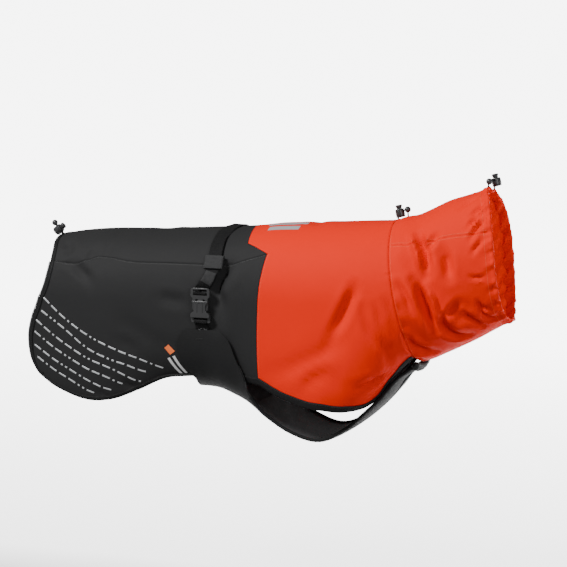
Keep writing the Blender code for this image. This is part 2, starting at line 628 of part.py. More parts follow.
def edges(finishes, collection):
    shell_stack = (-SHELL, 0.0, EASE)
    panel_stack = (LINING_LIFT, LINING_LIFT + LINING + GAP + SHELL, PANEL_EASE)
    parting = Vector((GAP / 2, 0))
    hem = row_pairs(side_patch, yoke_along, side_down, range(YOKE_CELLS))
    split = hem[BINDING_SPLIT]
    front = [moved(split, parting)] + hem[BINDING_SPLIT + 1:]
    front += row_pairs(front_patch, front_along, front_down, range(FRONT_CELLS + 1))
    front[-1] = moved(front[-1], -2 * parting)
    corner = (side_patch(0, 1), side_patch(yoke_along[1], side_down[-2]))
    rear = column_pairs(side_patch, yoke_along, side_down, range(len(side_down) - 1)) + [corner]
    rear += hem[1:BINDING_SPLIT] + [moved(split, -parting)]
    strip = row_pairs(belly_patch, panel_along, panel_down, range(len(panel_along)))
    strip = [pair for pair in strip if pair[0].x > STRIP_BINDING_START]
    tail = column_pairs(yoke_patch, yoke_along, yoke_down, range(len(yoke_down) - 1))
    tail = [mirrored(pair) for pair in reversed(tail[1:])] + tail
    black = finishes["black"]
    for side, word in ((-1, "right"), (1, "left")):
        folded_edge("front_binding_" + word, front, side, BINDING_WIDTH, shell_stack, black, collection)
        folded_edge("rear_binding_" + word, rear, side, EDGE_WIDTH, shell_stack, black, collection)
        folded_edge("strip_binding_" + word, strip, side, EDGE_WIDTH, panel_stack, black, collection)
        beyond = -(BINDING + 3 * GAP + PIPING / 2)
        piping = [edge_point(pair, side, beyond, -SHELL / 2) for pair in rear[:len(side_down) - 1]]
        tube("rear_piping_" + word, piping, PIPING / 2, finishes["reflective"], collection)
    folded_edge("tail_casing", tail, 1, EDGE_WIDTH, shell_stack, black, collection)


def tube(name, points, radius, finish, collection):
    curve = bpy.data.curves.new(name, "CURVE")
    curve.dimensions = "3D"
    curve.bevel_depth = radius
    curve.bevel_resolution = 2
    curve.use_fill_caps = True
    spline = curve.splines.new("POLY")
    spline.points.add(len(points) - 1)
    for knot, point in zip(spline.points, points):
        knot.co = (*point, 1.0)
    curve.materials.append(finish)
    collection.objects.link(bpy.data.objects.new(name, curve))


# --- straps and buckles --------------------------------------------------------------------------
def webbing(name, stations, width, thickness, finish, collection):
    """A flat strap through (point, outward direction) stations at its underside."""
    rings = []
    for k, (point, direction) in enumerate(stations):
        run = stations[min(k + 1, len(stations) - 1)][0] - stations[max(k - 1, 0)][0]
        across = run.cross(direction).normalized() * width / 2
        top = direction * thickness
        rings.append([point - across, point + across, point + across + top, point - across + top])
    loft(name, rings, False, finish, collection)


def stand(x, z, side, lift):
    """A frame on the flank: X across, Y up along the cloth, Z out of it."""
    angle = angle_at_height(x, z)
    origin, out = skin(plain_body, x, side * angle, lift)
    up = skin(plain_body, x, side * (angle - 0.05), lift)[0] - origin
    up = (up - out * up.dot(out)).normalized()
    frame = Matrix((up.cross(out), up, out)).transposed().to_4x4()
    frame.translation = origin
    return frame


def in_frame(frame, route):
    """Strap stations from rows of (up the cloth, out of it, lean of the strap's face)."""
    turn = frame.to_3x3()
    return [(frame @ Vector((0, up, out)), turn @ Vector((0, math.sin(lean), math.cos(lean))))
            for up, out, lean in route]


def strap_lift(spot):
    """The strap leaves the rounded back to run straight down to the buckle."""
    return STRAP_LIFT + STRAP_SLACK * fade((abs(spot.y) - 0.045) / 0.050)


def girth_strap(finish, collection):
    """One webbing from buckle to buckle, threaded over the upper bar of each."""
    half = curve_through([Vector((STRAP[0].x, 0.0))] + on_form(STRAP[1:]), 3)
    stations = []
    for side in (-1, 1):
        down = [skin(plain_body, spot.x, side * spot.y / ROUND, strap_lift(spot)) for spot in half]
        down += in_frame(stand(BUCKLE.x, BUCKLE.z, side, 0.0), BAR_ROUTE)
        stations = list(reversed(down))[:-1] if side < 0 else stations + down
    webbing("girth_strap", stations, WEBBING_WIDTH, WEBBING, finish, collection)


def plate(name, half_outline, low, high, frame, finish, collection):
    """A flat plate, mirrored from the right half of its outline, from low to high out of the cloth."""
    bm = bmesh.new()
    right = [bm.verts.new((u, v, low)) for u, v in half_outline]
    left = [bm.verts.new((-u, v, low)) for u, v in reversed(half_outline) if u > 0]
    face = bm.faces.new(right + left)
    raised = bmesh.ops.extrude_face_region(bm, geom=[face], use_keep_orig=True)["geom"]
    for vert in raised:
        if isinstance(vert, bmesh.types.BMVert):
            vert.co.z = high
    bm.transform(frame)
    return new_object(name, bm, finish, collection)


def cut_box(target, size, centre, frame, cutters):
    bm = bmesh.new()
    bmesh.ops.create_cube(bm, size=1.0, matrix=Matrix.Translation(centre) @ Matrix.Diagonal((*size, 1.0)))
    bm.transform(frame)
    cutter = new_object("cut_" + target.name + str(len(target.modifiers)), bm,
                        target.data.materials[0], cutters)
    cutter.hide_render = True
    cutter.display_type = "WIRE"
    cut = target.modifiers.new("cut", "BOOLEAN")
    cut.operation = "DIFFERENCE"
    cut.object = cutter


def side_release_buckle(side, word, finish, collection, cutters):
    frame = stand(BUCKLE.x, BUCKLE.z, side, 0.0)
    plug = plate("buckle_plug_" + word, PLUG_OUTLINE, 0.0040, 0.0084, frame, finish, collection)
    for height in (0.0161, 0.0213):
        cut_box(plug, (0.0215, 0.0032, 0.02), Vector((0, height, 0.006)), frame, cutters)
    socket = plate("buckle_socket_" + word, SOCKET_OUTLINE, 0.0023, 0.0105, frame, finish, collection)
    cut_box(socket, (0.0258, 0.0190, 0.0052), Vector((0, -0.0025, 0.0063)), frame, cutters)
    cut_box(socket, (0.0400, 0.0200, 0.0100), Vector((0, -0.0275, 0.0115)), frame, cutters)
    cut_box(socket, (0.0215, 0.0034, 0.0300), Vector((0, -0.0205, 0.0060)), frame, cutters)


def buckle_tab(side, word, finish, collection):
    """Webbing sewn under the wing's top edge and folded over the socket's bar."""
    stations = []
    for z in TAB_UNDER_WING:
        stations.append(skin(plain_body, TAB_X, side * angle_at_height(TAB_X, z), TAB_LIFT))
    stations += in_frame(stand(BUCKLE.x, BUCKLE.z, side, 0.0), TAB_ROUTE)
    webbing("buckle_tab_" + word, stations, WEBBING_WIDTH, WEBBING, finish, collection)


def keeper(side, word, finish, collection):
    """A flat elastic sleeve round the strap, and the strap's doubled end that it holds."""
    spot = on_form([KEEPER])[0]
    frame = stand(KEEPER.x, KEEPER.z, side, strap_lift(spot))
    low, high, wall, half = -0.0022, 0.0044, 0.0010, KEEPER_WIDTH / 2
    corners = ((half, low), (half + 0.0008, (low + high) / 2), (half, high), (0.0, high + 0.0004),
               (-half, high), (-half - 0.0008, (low + high) / 2), (-half, low), (0.0, low))
    inner = [(u * (1 - wall / half), min(max(w, low + wall), high - wall)) for u, w in corners]
    rings = []
    for (u, w), (inner_u, inner_w) in zip(corners, inner):
        rings.append([frame @ Vector(p) for p in ((u, KEEPER_HEIGHT / 2, w), (u, -KEEPER_HEIGHT / 2, w),
                                                  (inner_u, -KEEPER_HEIGHT / 2, inner_w),
                                                  (inner_u, KEEPER_HEIGHT / 2, inner_w))])
    loft("strap_keeper_" + word, rings, True, finish, collection)
    stations = [skin(plain_body, spot.x, side * spot.y / ROUND, strap_lift(spot) + WEBBING + GAP)
                for spot in on_form(STRAP_END)]
    webbing("strap_end_" + word, stations, WEBBING_WIDTH, WEBBING, finish, collection)


# --- cord locks ----------------------------------------------------------------------------------
def turned_frame(centre, axis, across):
    """A frame whose Z is the axis and whose X lies across it."""
    axis = Vector(axis).normalized()
    across = Vector(across)
    across = (across - axis * across.dot(axis)).normalized()
    frame = Matrix((across, axis.cross(across), axis)).transposed().to_4x4()
    frame.translation = centre
    return frame


def cord_lock(lock, finishes, collection, cutters):
    """A sprung barrel with its plunger, the cord through the barrel's slot, and the bead that ends it."""
    frame = turned_frame(lock.centre, lock.axis, lock.through)
    bm = bmesh.new()
    bmesh.ops.create_cone(bm, cap_ends=True, segments=16, radius1=BARREL_RADIUS, radius2=BARREL_RADIUS,
                          depth=BARREL_HEIGHT, matrix=frame)
    barrel = new_object(lock.name + "_lock_barrel", bm, finishes["plastic"], collection)
    cut_box(barrel, CORD_SLOT, Vector((0, 0, lock.slot)), frame, cutters)
    if lock.foot:
        passage = turned_frame(frame @ Vector((0, 0, lock.slot)), lock.foot, (0, 1, 0))
        cut_box(barrel, (CORD_HOLE, CORD_HOLE, BARREL_HOLE), Vector((0, 0, BARREL_HOLE / 2)), passage, cutters)
    bm = bmesh.new()
    bottom = BARREL_HEIGHT / 2 + GAP
    bmesh.ops.create_cone(bm, cap_ends=True, segments=12, radius1=PLUNGER_RADIUS * 0.8,
                          radius2=PLUNGER_RADIUS, depth=PLUNGER_HEIGHT,
                          matrix=frame @ Matrix.Translation((0, 0, bottom + PLUNGER_HEIGHT / 2)))
    new_object(lock.name + "_lock_plunger", bm, finishes["plastic"], collection)
    bm = bmesh.new()
    bmesh.ops.create_uvsphere(bm, u_segments=12, v_segments=7, radius=BEAD_RADIUS,
                              matrix=Matrix.Translation(lock.bead))
    bead = new_object(lock.name + "_cord_bead", bm, finishes["plastic"], collection)
    for hole in lock.holes:
        frame = turned_frame(lock.bead, hole.axis, (0, 1, 0))
        cut_box(bead, (hole.width, CORD_HOLE, 2 * BEAD_RADIUS), Vector((0, 0, BEAD_RADIUS)), frame, cutters)
    for word, route in lock.cords:
        points = [Vector(p) for p in route]
        tube(lock.name + "_cord_" + word, points, CORD / 2, finishes["cord"], collection)


def build():
    for old in list(bpy.data.objects):
        bpy.data.objects.remove(old)
    coat = bpy.data.collections.new("dog_raincoat")
    cutters = bpy.data.collections.new("cutters")
    for made in (coat, cutters):
        bpy.context.scene.collection.children.link(made)
    finishes = materials()
    back_yoke(finishes["black"], coat)
    front_shell(finishes["orange"], coat)
    collar_panel("collar_top", True, finishes["orange"], coat)
    collar_panel("collar_bottom", False, finishes["orange"], coat)
    collar_hem(finishes["orange"], coat)
    belly_pieces(finishes, coat)
    edges(finishes, coat)
    girth_strap(finishes["webbing"], coat)
    for side, word in ((-1, "right"), (1, "left")):
        side_panel("side_panel_" + word, side, finishes["black"], coat)
        side_release_buckle(side, word, finishes["plastic"], coat, cutters)
        buckle_tab(side, word, finishes["webbing"], coat)
        keeper(side, word, finishes["keeper"], coat)
    for lock in LOCKS:
        cord_lock(lock, finishes, coat, cutters)


build()
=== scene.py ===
import math

import bmesh
import bpy
import numpy as np
from mathutils import Matrix, Vector


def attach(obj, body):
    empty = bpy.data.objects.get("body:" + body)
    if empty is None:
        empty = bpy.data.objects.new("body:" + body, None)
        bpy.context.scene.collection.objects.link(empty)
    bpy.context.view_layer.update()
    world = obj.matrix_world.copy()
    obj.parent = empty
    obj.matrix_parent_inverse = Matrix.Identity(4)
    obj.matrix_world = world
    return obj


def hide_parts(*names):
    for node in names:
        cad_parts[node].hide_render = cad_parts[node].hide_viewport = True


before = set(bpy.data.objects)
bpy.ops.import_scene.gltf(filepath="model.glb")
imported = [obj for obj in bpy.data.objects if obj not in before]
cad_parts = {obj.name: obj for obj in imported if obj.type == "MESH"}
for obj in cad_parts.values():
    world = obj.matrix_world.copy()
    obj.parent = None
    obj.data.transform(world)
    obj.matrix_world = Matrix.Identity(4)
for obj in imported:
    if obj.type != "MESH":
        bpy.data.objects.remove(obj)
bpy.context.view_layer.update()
print("frame loaded")

# camera, floor and light
view = {"azimuth": 19.5, "elevation": 8.5, "distance": 3.0, "pixel": 0.00147, "aim": (0.0, 0.0, -0.089),
        "sensor": 36.0, "side": 567, "reach": 200}
sides = ((-1, "right"), (1, "left"))


def placeObject(name, data):
    made = bpy.data.objects.new(name, data)
    bpy.context.scene.collection.objects.link(made)
    return made


def makeCamera():
    turn, tilt = math.radians(view["azimuth"]), math.radians(view["elevation"])
    aim = Vector(view["aim"])
    back = Vector((math.sin(turn) * math.cos(tilt), -math.cos(turn) * math.cos(tilt), math.sin(tilt)))
    camera = bpy.data.cameras.new("camera")
    camera.sensor_width = view["sensor"]
    camera.lens = view["sensor"] * view["distance"] / (view["side"] * view["pixel"])
    camera.clip_end = view["reach"]
    made = placeObject("camera", camera)
    facing = back.to_track_quat("Z", "Y").to_matrix().to_4x4()
    made.matrix_world = Matrix.Translation(aim + back * view["distance"]) @ facing
    bpy.context.scene.camera = made


makeCamera()


# materials
def makeNode(tree, kind, values=(), **settings):
    made = tree.nodes.new("ShaderNode" + kind)
    for name, value in settings.items():
        setattr(made, name, value)
    for name, value in values:
        socket = made.inputs[name]
        if isinstance(value, bpy.types.NodeSocket):
            tree.links.new(value, socket)
        else:
            socket.default_value = value
    return made


def startMaterial(name, color, roughness, sheen, metal=0.0):
    made = bpy.data.materials.new(name)
    made.use_nodes = True
    tree = made.node_tree
    principled = tree.nodes["Principled BSDF"]
    principled.inputs["Base Color"].default_value = (*color, 1)
    principled.inputs["Roughness"].default_value = roughness
    principled.inputs["Specular IOR Level"].default_value = sheen
    principled.inputs["Metallic"].default_value = metal
    return made, tree, principled


def wovenMaterial(name, color, roughness, sheen, lookValues):
    made, tree, principled = startMaterial(name, color, roughness, sheen)
    look = dict(zip(lookNames, lookValues))
    place = makeNode(tree, "TexCoord").outputs["Object"]
    cloud = makeNode(tree, "TexNoise", (("Vector", place), ("Scale", look["cloud"]), ("Detail", 3.0)))
    low = tuple(c * (1 - look["vary"]) for c in color)
    high = tuple(min(1, c * (1 + look["vary"])) for c in color)
    tone = makeNode(tree, "Mix", (), data_type="RGBA")
    tree.links.new(cloud.outputs["Fac"], tone.inputs[0])
    tone.inputs[6].default_value = (*low, 1)
    tone.inputs[7].default_value = (*high, 1)
    spread = makeNode(tree, "UVMap", uv_map="cloth").outputs["UV"]
    waves = [makeNode(tree, "TexWave", (("Vector", spread), ("Scale", look["threads"]),
                                        ("Distortion", 0.15), ("Detail", 1.0)),
                      bands_direction=way) for way in ("X", "Y")]
    weave = makeNode(tree, "Math", ((0, waves[0].outputs["Fac"]), (1, waves[1].outputs["Fac"])),
                     operation="MULTIPLY")
    shaded = makeNode(tree, "Mix", (), data_type="RGBA", blend_type="MULTIPLY")
    tree.links.new(tone.outputs[2], shaded.inputs[6])
    dark = makeNode(tree, "MapRange",
                    (("Value", weave.outputs[0]), ("To Min", 1 - look["grain"]), ("To Max", 1.0)))
    tree.links.new(dark.outputs[0], shaded.inputs[7])
    shaded.inputs[0].default_value = 1.0
    tree.links.new(shaded.outputs[2], principled.inputs["Base Color"])
    crumple = makeNode(tree, "TexNoise", (("Vector", place), ("Scale", look["crumple"]), ("Detail", 4.0),
                                          ("Distortion", 0.6)))
    soft = makeNode(tree, "Bump",
                    (("Height", crumple.outputs["Fac"]), ("Strength", look["soft"]), ("Distance", 0.004)))
    fine = makeNode(tree, "Bump",
                    (("Height", weave.outputs[0]), ("Strength", look["fine"]), ("Distance", 0.0003),
                                   ("Normal", soft.outputs[0])))
    tree.links.new(fine.outputs[0], principled.inputs["Normal"])
    return made


# each woven finish: material, colour, roughness, sheen and the values of its look in the order of lookNames
lookNames = ("cloud", "vary", "threads", "grain", "crumple", "soft", "fine")
clothRows = {
    "orange": ("orangeCloth", (0.80, 0.015, 0.0006), 0.60, 0.06, (9, 0.05, 380, 0.10, 26, 0.10, 0.35)),
    # glow: a brighter copy of the orange cloth for the collar's inner face, painted light
    "glow": ("orangeInsidePaintedGlow", (0.84, 0.020, 0.001), 0.55, 0.2, (9, 0.05, 380, 0.10, 40, 0.35, 0.35)),
    "black": ("blackCloth", (0.0220, 0.0220, 0.0225), 0.70, 0.15, (8, 0.12, 420, 0.25, 18, 0.10, 0.4)),
    "wing": ("wingCloth", (0.0190, 0.0190, 0.0195), 0.72, 0.12, (10, 0.15, 420, 0.25, 22, 0.14, 0.4)),
    # inside: the inner faces are lighter than the outer black, partly as a lighter inner face and partly
    # painted light that lifts the shade inside the coat
    "inside": ("blackInside", (0.050, 0.050, 0.052), 0.6, 0.5, (8, 0.12, 300, 0.2, 20, 0.12, 0.3)),
    "lining": ("greyLining", (0.052, 0.052, 0.055), 0.40, 0.5, (22, 0.55, 260, 0.1, 44, 0.55, 0.2)),
    "binding": ("blackBinding", (0.0125, 0.0125, 0.0130), 0.66, 0.15, (12, 0.15, 500, 0.3, 60, 0.15, 0.6)),
    "webbing": ("blackWebbing", (0.0060, 0.0060, 0.0064), 0.6, 0.2, (20, 0.2, 360, 0.4, 60, 0.05, 1.0)),
    "keeper": ("greyWebbing", (0.019, 0.019, 0.020), 0.7, 0.5, (160, 0.5, 420, 0.45, 140, 0.2, 0.9)),
    "cord": ("elasticCord", (0.016, 0.016, 0.017), 0.7, 0.5, (60, 0.3, 700, 0.3, 500, 0.3, 0.3)),
}
finishes = {key: wovenMaterial(*row) for key, row in clothRows.items()}
# painted light: the collar's inner face glows faintly in orange, standing in for light inside the collar
paintedGlowShader = finishes["glow"].node_tree.nodes["Principled BSDF"].inputs
paintedGlowShader["Emission Color"].default_value = (1.0, 0.045, 0.006, 1.0)
paintedGlowShader["Emission Strength"].default_value = 0.17


def grainMaterial(name, color, roughness, sheen, metal, scale, strength):
    made, tree, principled = startMaterial(name, color, roughness, sheen, metal)
    place = makeNode(tree, "TexCoord").outputs["Object"]
    grain = makeNode(tree, "TexNoise", (("Vector", place), ("Scale", scale), ("Detail", 3.0)))
    uneven = makeNode(tree, "MapRange", (("Value", grain.outputs["Fac"]), ("To Min", roughness - 0.08),
                                         ("To Max", roughness + 0.08)))
    tree.links.new(uneven.outputs[0], principled.inputs["Roughness"])
    bump = makeNode(tree, "Bump",
                    (("Height", grain.outputs["Fac"]), ("Strength", strength), ("Distance", 0.0002)))
    tree.links.new(bump.outputs[0], principled.inputs["Normal"])
    return made


# each grained finish: colour, roughness, sheen, metal, scale of the grain and its strength
grainRows = {
    "blackPlastic": ((0.032, 0.032, 0.033), 0.34, 0.4, 0.0, 1800, 0.35),
    "reflectiveTape": ((0.42, 0.43, 0.44), 0.45, 0.5, 0.25, 1500, 0.6),
    "orangeThread": ((0.72, 0.070, 0.016), 0.6, 0.5, 0.0, 4000, 0.8),
    "blackThread": ((0.018, 0.018, 0.018), 0.6, 0.5, 0.0, 4000, 0.8),
    "greyThread": ((0.13, 0.13, 0.135), 0.6, 0.5, 0.0, 4000, 0.8),
    "whitePrint": ((0.62, 0.62, 0.62), 0.6, 0.5, 0.0, 3000, 0.3),
    "orangePrint": ((0.85, 0.16, 0.03), 0.6, 0.5, 0.0, 3000, 0.3),
}
finishes.update({name: grainMaterial(name, *row) for name, row in grainRows.items()})
print("materials made")

# the form: upright sections of the body and leaning rings of the collar, as in the solids
turnReach = 0.100
blendReach = 0.020
bodyRows = (
    (-0.400, -0.045, -0.118, -0.352, 0.076, 2.3, 2.8),
    (-0.361, -0.032, -0.117, -0.352, 0.081, 2.3, 2.8),
    (-0.328, -0.024, -0.116, -0.350, 0.085, 2.3, 2.8),
    (-0.273, -0.018, -0.114, -0.338, 0.090, 2.3, 2.8),
    (-0.205, -0.0155, -0.112, -0.294, 0.094, 2.3, 2.8),
    (-0.145, -0.012, -0.110, -0.248, 0.096, 2.3, 2.8),
    (-0.085, -0.008, -0.108, -0.243, 0.097, 2.3, 2.8),
    (-0.040, -0.0045, -0.106, -0.257, 0.098, 2.2, 3.0),
    (0.000, 0.0008, -0.104, -0.281, 0.099, 2.2, 3.7),
    (0.036, 0.0030, -0.103, -0.299, 0.099, 2.15, 4.2),
    (0.075, 0.0055, -0.102, -0.3055, 0.099, 2.1, 4.6),
    (0.112, 0.008, -0.100, -0.2885, 0.097, 2.1, 4.3),
    (0.142, 0.010, -0.097, -0.2645, 0.094, 2.05, 3.6),
    (0.168, 0.0115, -0.0935, -0.2375, 0.0905, 2.0, 2.8),
    (0.188, 0.0135, -0.092, -0.2115, 0.087, 2.0, 2.3),
    (0.214, 0.017, -0.088, -0.189, 0.080, 2.0, 2.0),
)
collarRows = (
    (0.00, 0.173, 0.0120, 0.213, -0.190, 0.086),
    (0.12, 0.188, 0.0175, 0.229, -0.187, 0.084),
    (0.25, 0.205, 0.0210, 0.246, -0.179, 0.080),
    (0.40, 0.225, 0.0300, 0.266, -0.169, 0.075),
    (0.60, 0.252, 0.0435, 0.293, -0.155, 0.069),
    (0.80, 0.279, 0.0525, 0.320, -0.139, 0.063),
    (1.00, 0.304, 0.0620, 0.346, -0.124, 0.058),
)
collarLength = 0.144
ringForm = {"round": 2.0, "rounder": 0.15, "lean": 0.0045, "topLean": 0.0115, "joint": 0.5}


def smoothValue(knots, values, at):
    knots, values = np.asarray(knots, float), np.asarray(values, float)
    k = np.arange(len(knots))
    low, high = np.maximum(k - 1, 0), np.minimum(k + 1, len(knots) - 1)
    slope = (values[high] - values[low]) / (knots[high] - knots[low])
    at = np.clip(at, knots[0], knots[-1])
    i = np.clip(np.searchsorted(knots, at, side="right") - 1, 0, len(knots) - 2)
    span = knots[i + 1] - knots[i]
    t = (at - knots[i]) / span
    return ((2 * t ** 3 - 3 * t ** 2 + 1) * values[i] + (t ** 3 - 2 * t ** 2 + t) * span * slope[i]
            + (3 * t ** 2 - 2 * t ** 3) * values[i + 1] + (t ** 3 - t ** 2) * span * slope[i + 1])


def columnsAt(rows, at):
    columns = np.array(rows).T
    return [smoothValue(columns[0], column, at) for column in columns[1:]]


def fade(t):
    t = np.clip(t, 0, 1)
    return t * t * (3 - 2 * t)


def bulge(angle, roundness):
    across, up = np.abs(np.sin(angle)), np.cos(angle)
    reach = (across ** roundness + np.abs(up) ** roundness) ** (-1 / roundness)
    return np.sin(angle) * reach, up * reach


def plainBody(x, angle):
    top, widest, bottom, halfWidth, roundTop, roundBottom = columnsAt(bodyRows, x)
    upper = np.cos(angle) >= 0
    across, up = bulge(angle, np.where(upper, roundTop, roundBottom))
    height = np.where(upper, top - widest, widest - bottom)
    return np.stack([x + 0 * angle, halfWidth * across, widest + height * up], -1)


def neckPlane(angle):
    topX, topZ, bottomX, bottomZ = collarRows[0][1:5]
    x = np.full(np.shape(angle), topX)
    for _ in range(12):
        x = topX + (topZ - plainBody(x, angle)[..., 2]) * (bottomX - topX) / (topZ - bottomZ)
    return x


neckAngles = np.linspace(0, math.pi, 361)
neckTable = neckPlane(neckAngles)


def neckX(angle):
    return np.interp(np.abs(angle), neckAngles, neckTable)


def plainRing(share, angle):
    topX, topZ, bottomX, bottomZ, halfWidth = columnsAt(collarRows, share)
    across, up = bulge(angle, ringForm["round"] + ringForm["rounder"] * share)
    lean = np.abs(np.sin(angle)) * (ringForm["lean"] + ringForm["topLean"] * np.cos(angle)) * fade(share)
    return np.stack([(topX + bottomX) / 2 + (topX - bottomX) / 2 * up + lean, halfWidth * across,
                     (topZ + bottomZ) / 2 + (topZ - bottomZ) / 2 * up], -1)


def plainCollar(share, angle):
    joint = plainBody(neckX(angle), angle) - plainRing(0 * share, angle)
    return plainRing(share, angle) + joint * (1 - fade(share / ringForm["joint"]))[..., None]


def unit(vectors):
    return vectors / np.maximum(np.linalg.norm(vectors, axis=-1, keepdims=True), 1e-12)


def acrossForm(form, along, angle):
    step, turn = (0.001 if form is plainBody else 0.01), 0.01
    ahead = form(along + step, angle) - form(along - step, angle)
    roundWay = form(along, angle + turn) - form(along, angle - turn)
    return unit(np.cross(ahead, roundWay))


def outward(form, along, angle):
    own = acrossForm(form, along, angle)
    if form is plainBody:
        away = (neckX(angle) - along) / blendReach
        other = acrossForm(plainCollar, 0.02 + 0 * along, angle)
    else:
        away = along * collarLength / blendReach
        other = acrossForm(plainBody, neckX(angle) - 0.002, angle)
    share = (0.5 * (1 - fade(away)))[..., None]
    return unit(own * (1 - share) + other * share)


# main folds in side view, as in the solids: side, start, end, half width, depth
folds = (
    (-1, 0.232, -0.052, 0.252, -0.128, 0.011, 0.0075),
    (-1, 0.206, -0.034, 0.232, -0.060, 0.009, 0.0040),
    (-1, 0.220, 0.010, 0.238, -0.032, 0.010, 0.0030),
    (-1, 0.262, -0.018, 0.270, -0.050, 0.010, 0.0030),
    (-1, 0.262, -0.136, 0.290, -0.098, 0.009, 0.0035),
    (-1, 0.205, -0.125, 0.236, -0.160, 0.012, 0.0040),
    (1, 0.238, -0.040, 0.256, -0.120, 0.012, 0.0070),
    (1, 0.262, -0.080, 0.286, -0.130, 0.010, 0.0040),
    (1, 0.214, -0.010, 0.240, -0.050, 0.010, 0.0035),
    (-1, 0.140, -0.085, 0.100, -0.165, 0.016, 0.0030),
    (-1, 0.015, -0.205, 0.118, -0.158, 0.013, 0.0030),
    (-1, 0.150, -0.228, 0.186, -0.212, 0.010, 0.0025),
    (1, 0.150, -0.070, 0.090, -0.150, 0.017, 0.0030),
    (1, 0.020, -0.190, 0.110, -0.170, 0.014, 0.0028),
    (-1, -0.300, -0.062, -0.272, -0.088, 0.012, 0.0035),
    (-1, -0.245, -0.030, -0.262, -0.060, 0.012, 0.0030),
    (-1, -0.215, -0.145, -0.150, -0.178, 0.014, 0.0025),
    (1, -0.305, -0.060, -0.262, -0.095, 0.013, 0.0035),
    (1, -0.210, -0.120, -0.160, -0.170, 0.015, 0.0028),
)


def foldDepth(point, angle):
    depth = np.zeros(angle.shape)
    for side, x0, z0, x1, z1, halfWidth, deep in folds:
        run = np.array((x1 - x0, z1 - z0))
        length = math.hypot(*run)
        place = point[..., (0, 2)] - np.array((x0, z0))
        share = place @ run / length ** 2
        beside = np.abs(place[..., 0] * run[1] - place[..., 1] * run[0]) / length / halfWidth
        beyond = np.maximum(0, np.maximum(-share, share - 1)) * length / halfWidth
        bend = 0.55 + 0.45 * np.sin(math.pi * np.clip(share, 0, 1))
        depth += np.where(side * angle >= 0, deep * bend * np.exp(-beside ** 2 - beyond ** 2), 0)
    return depth


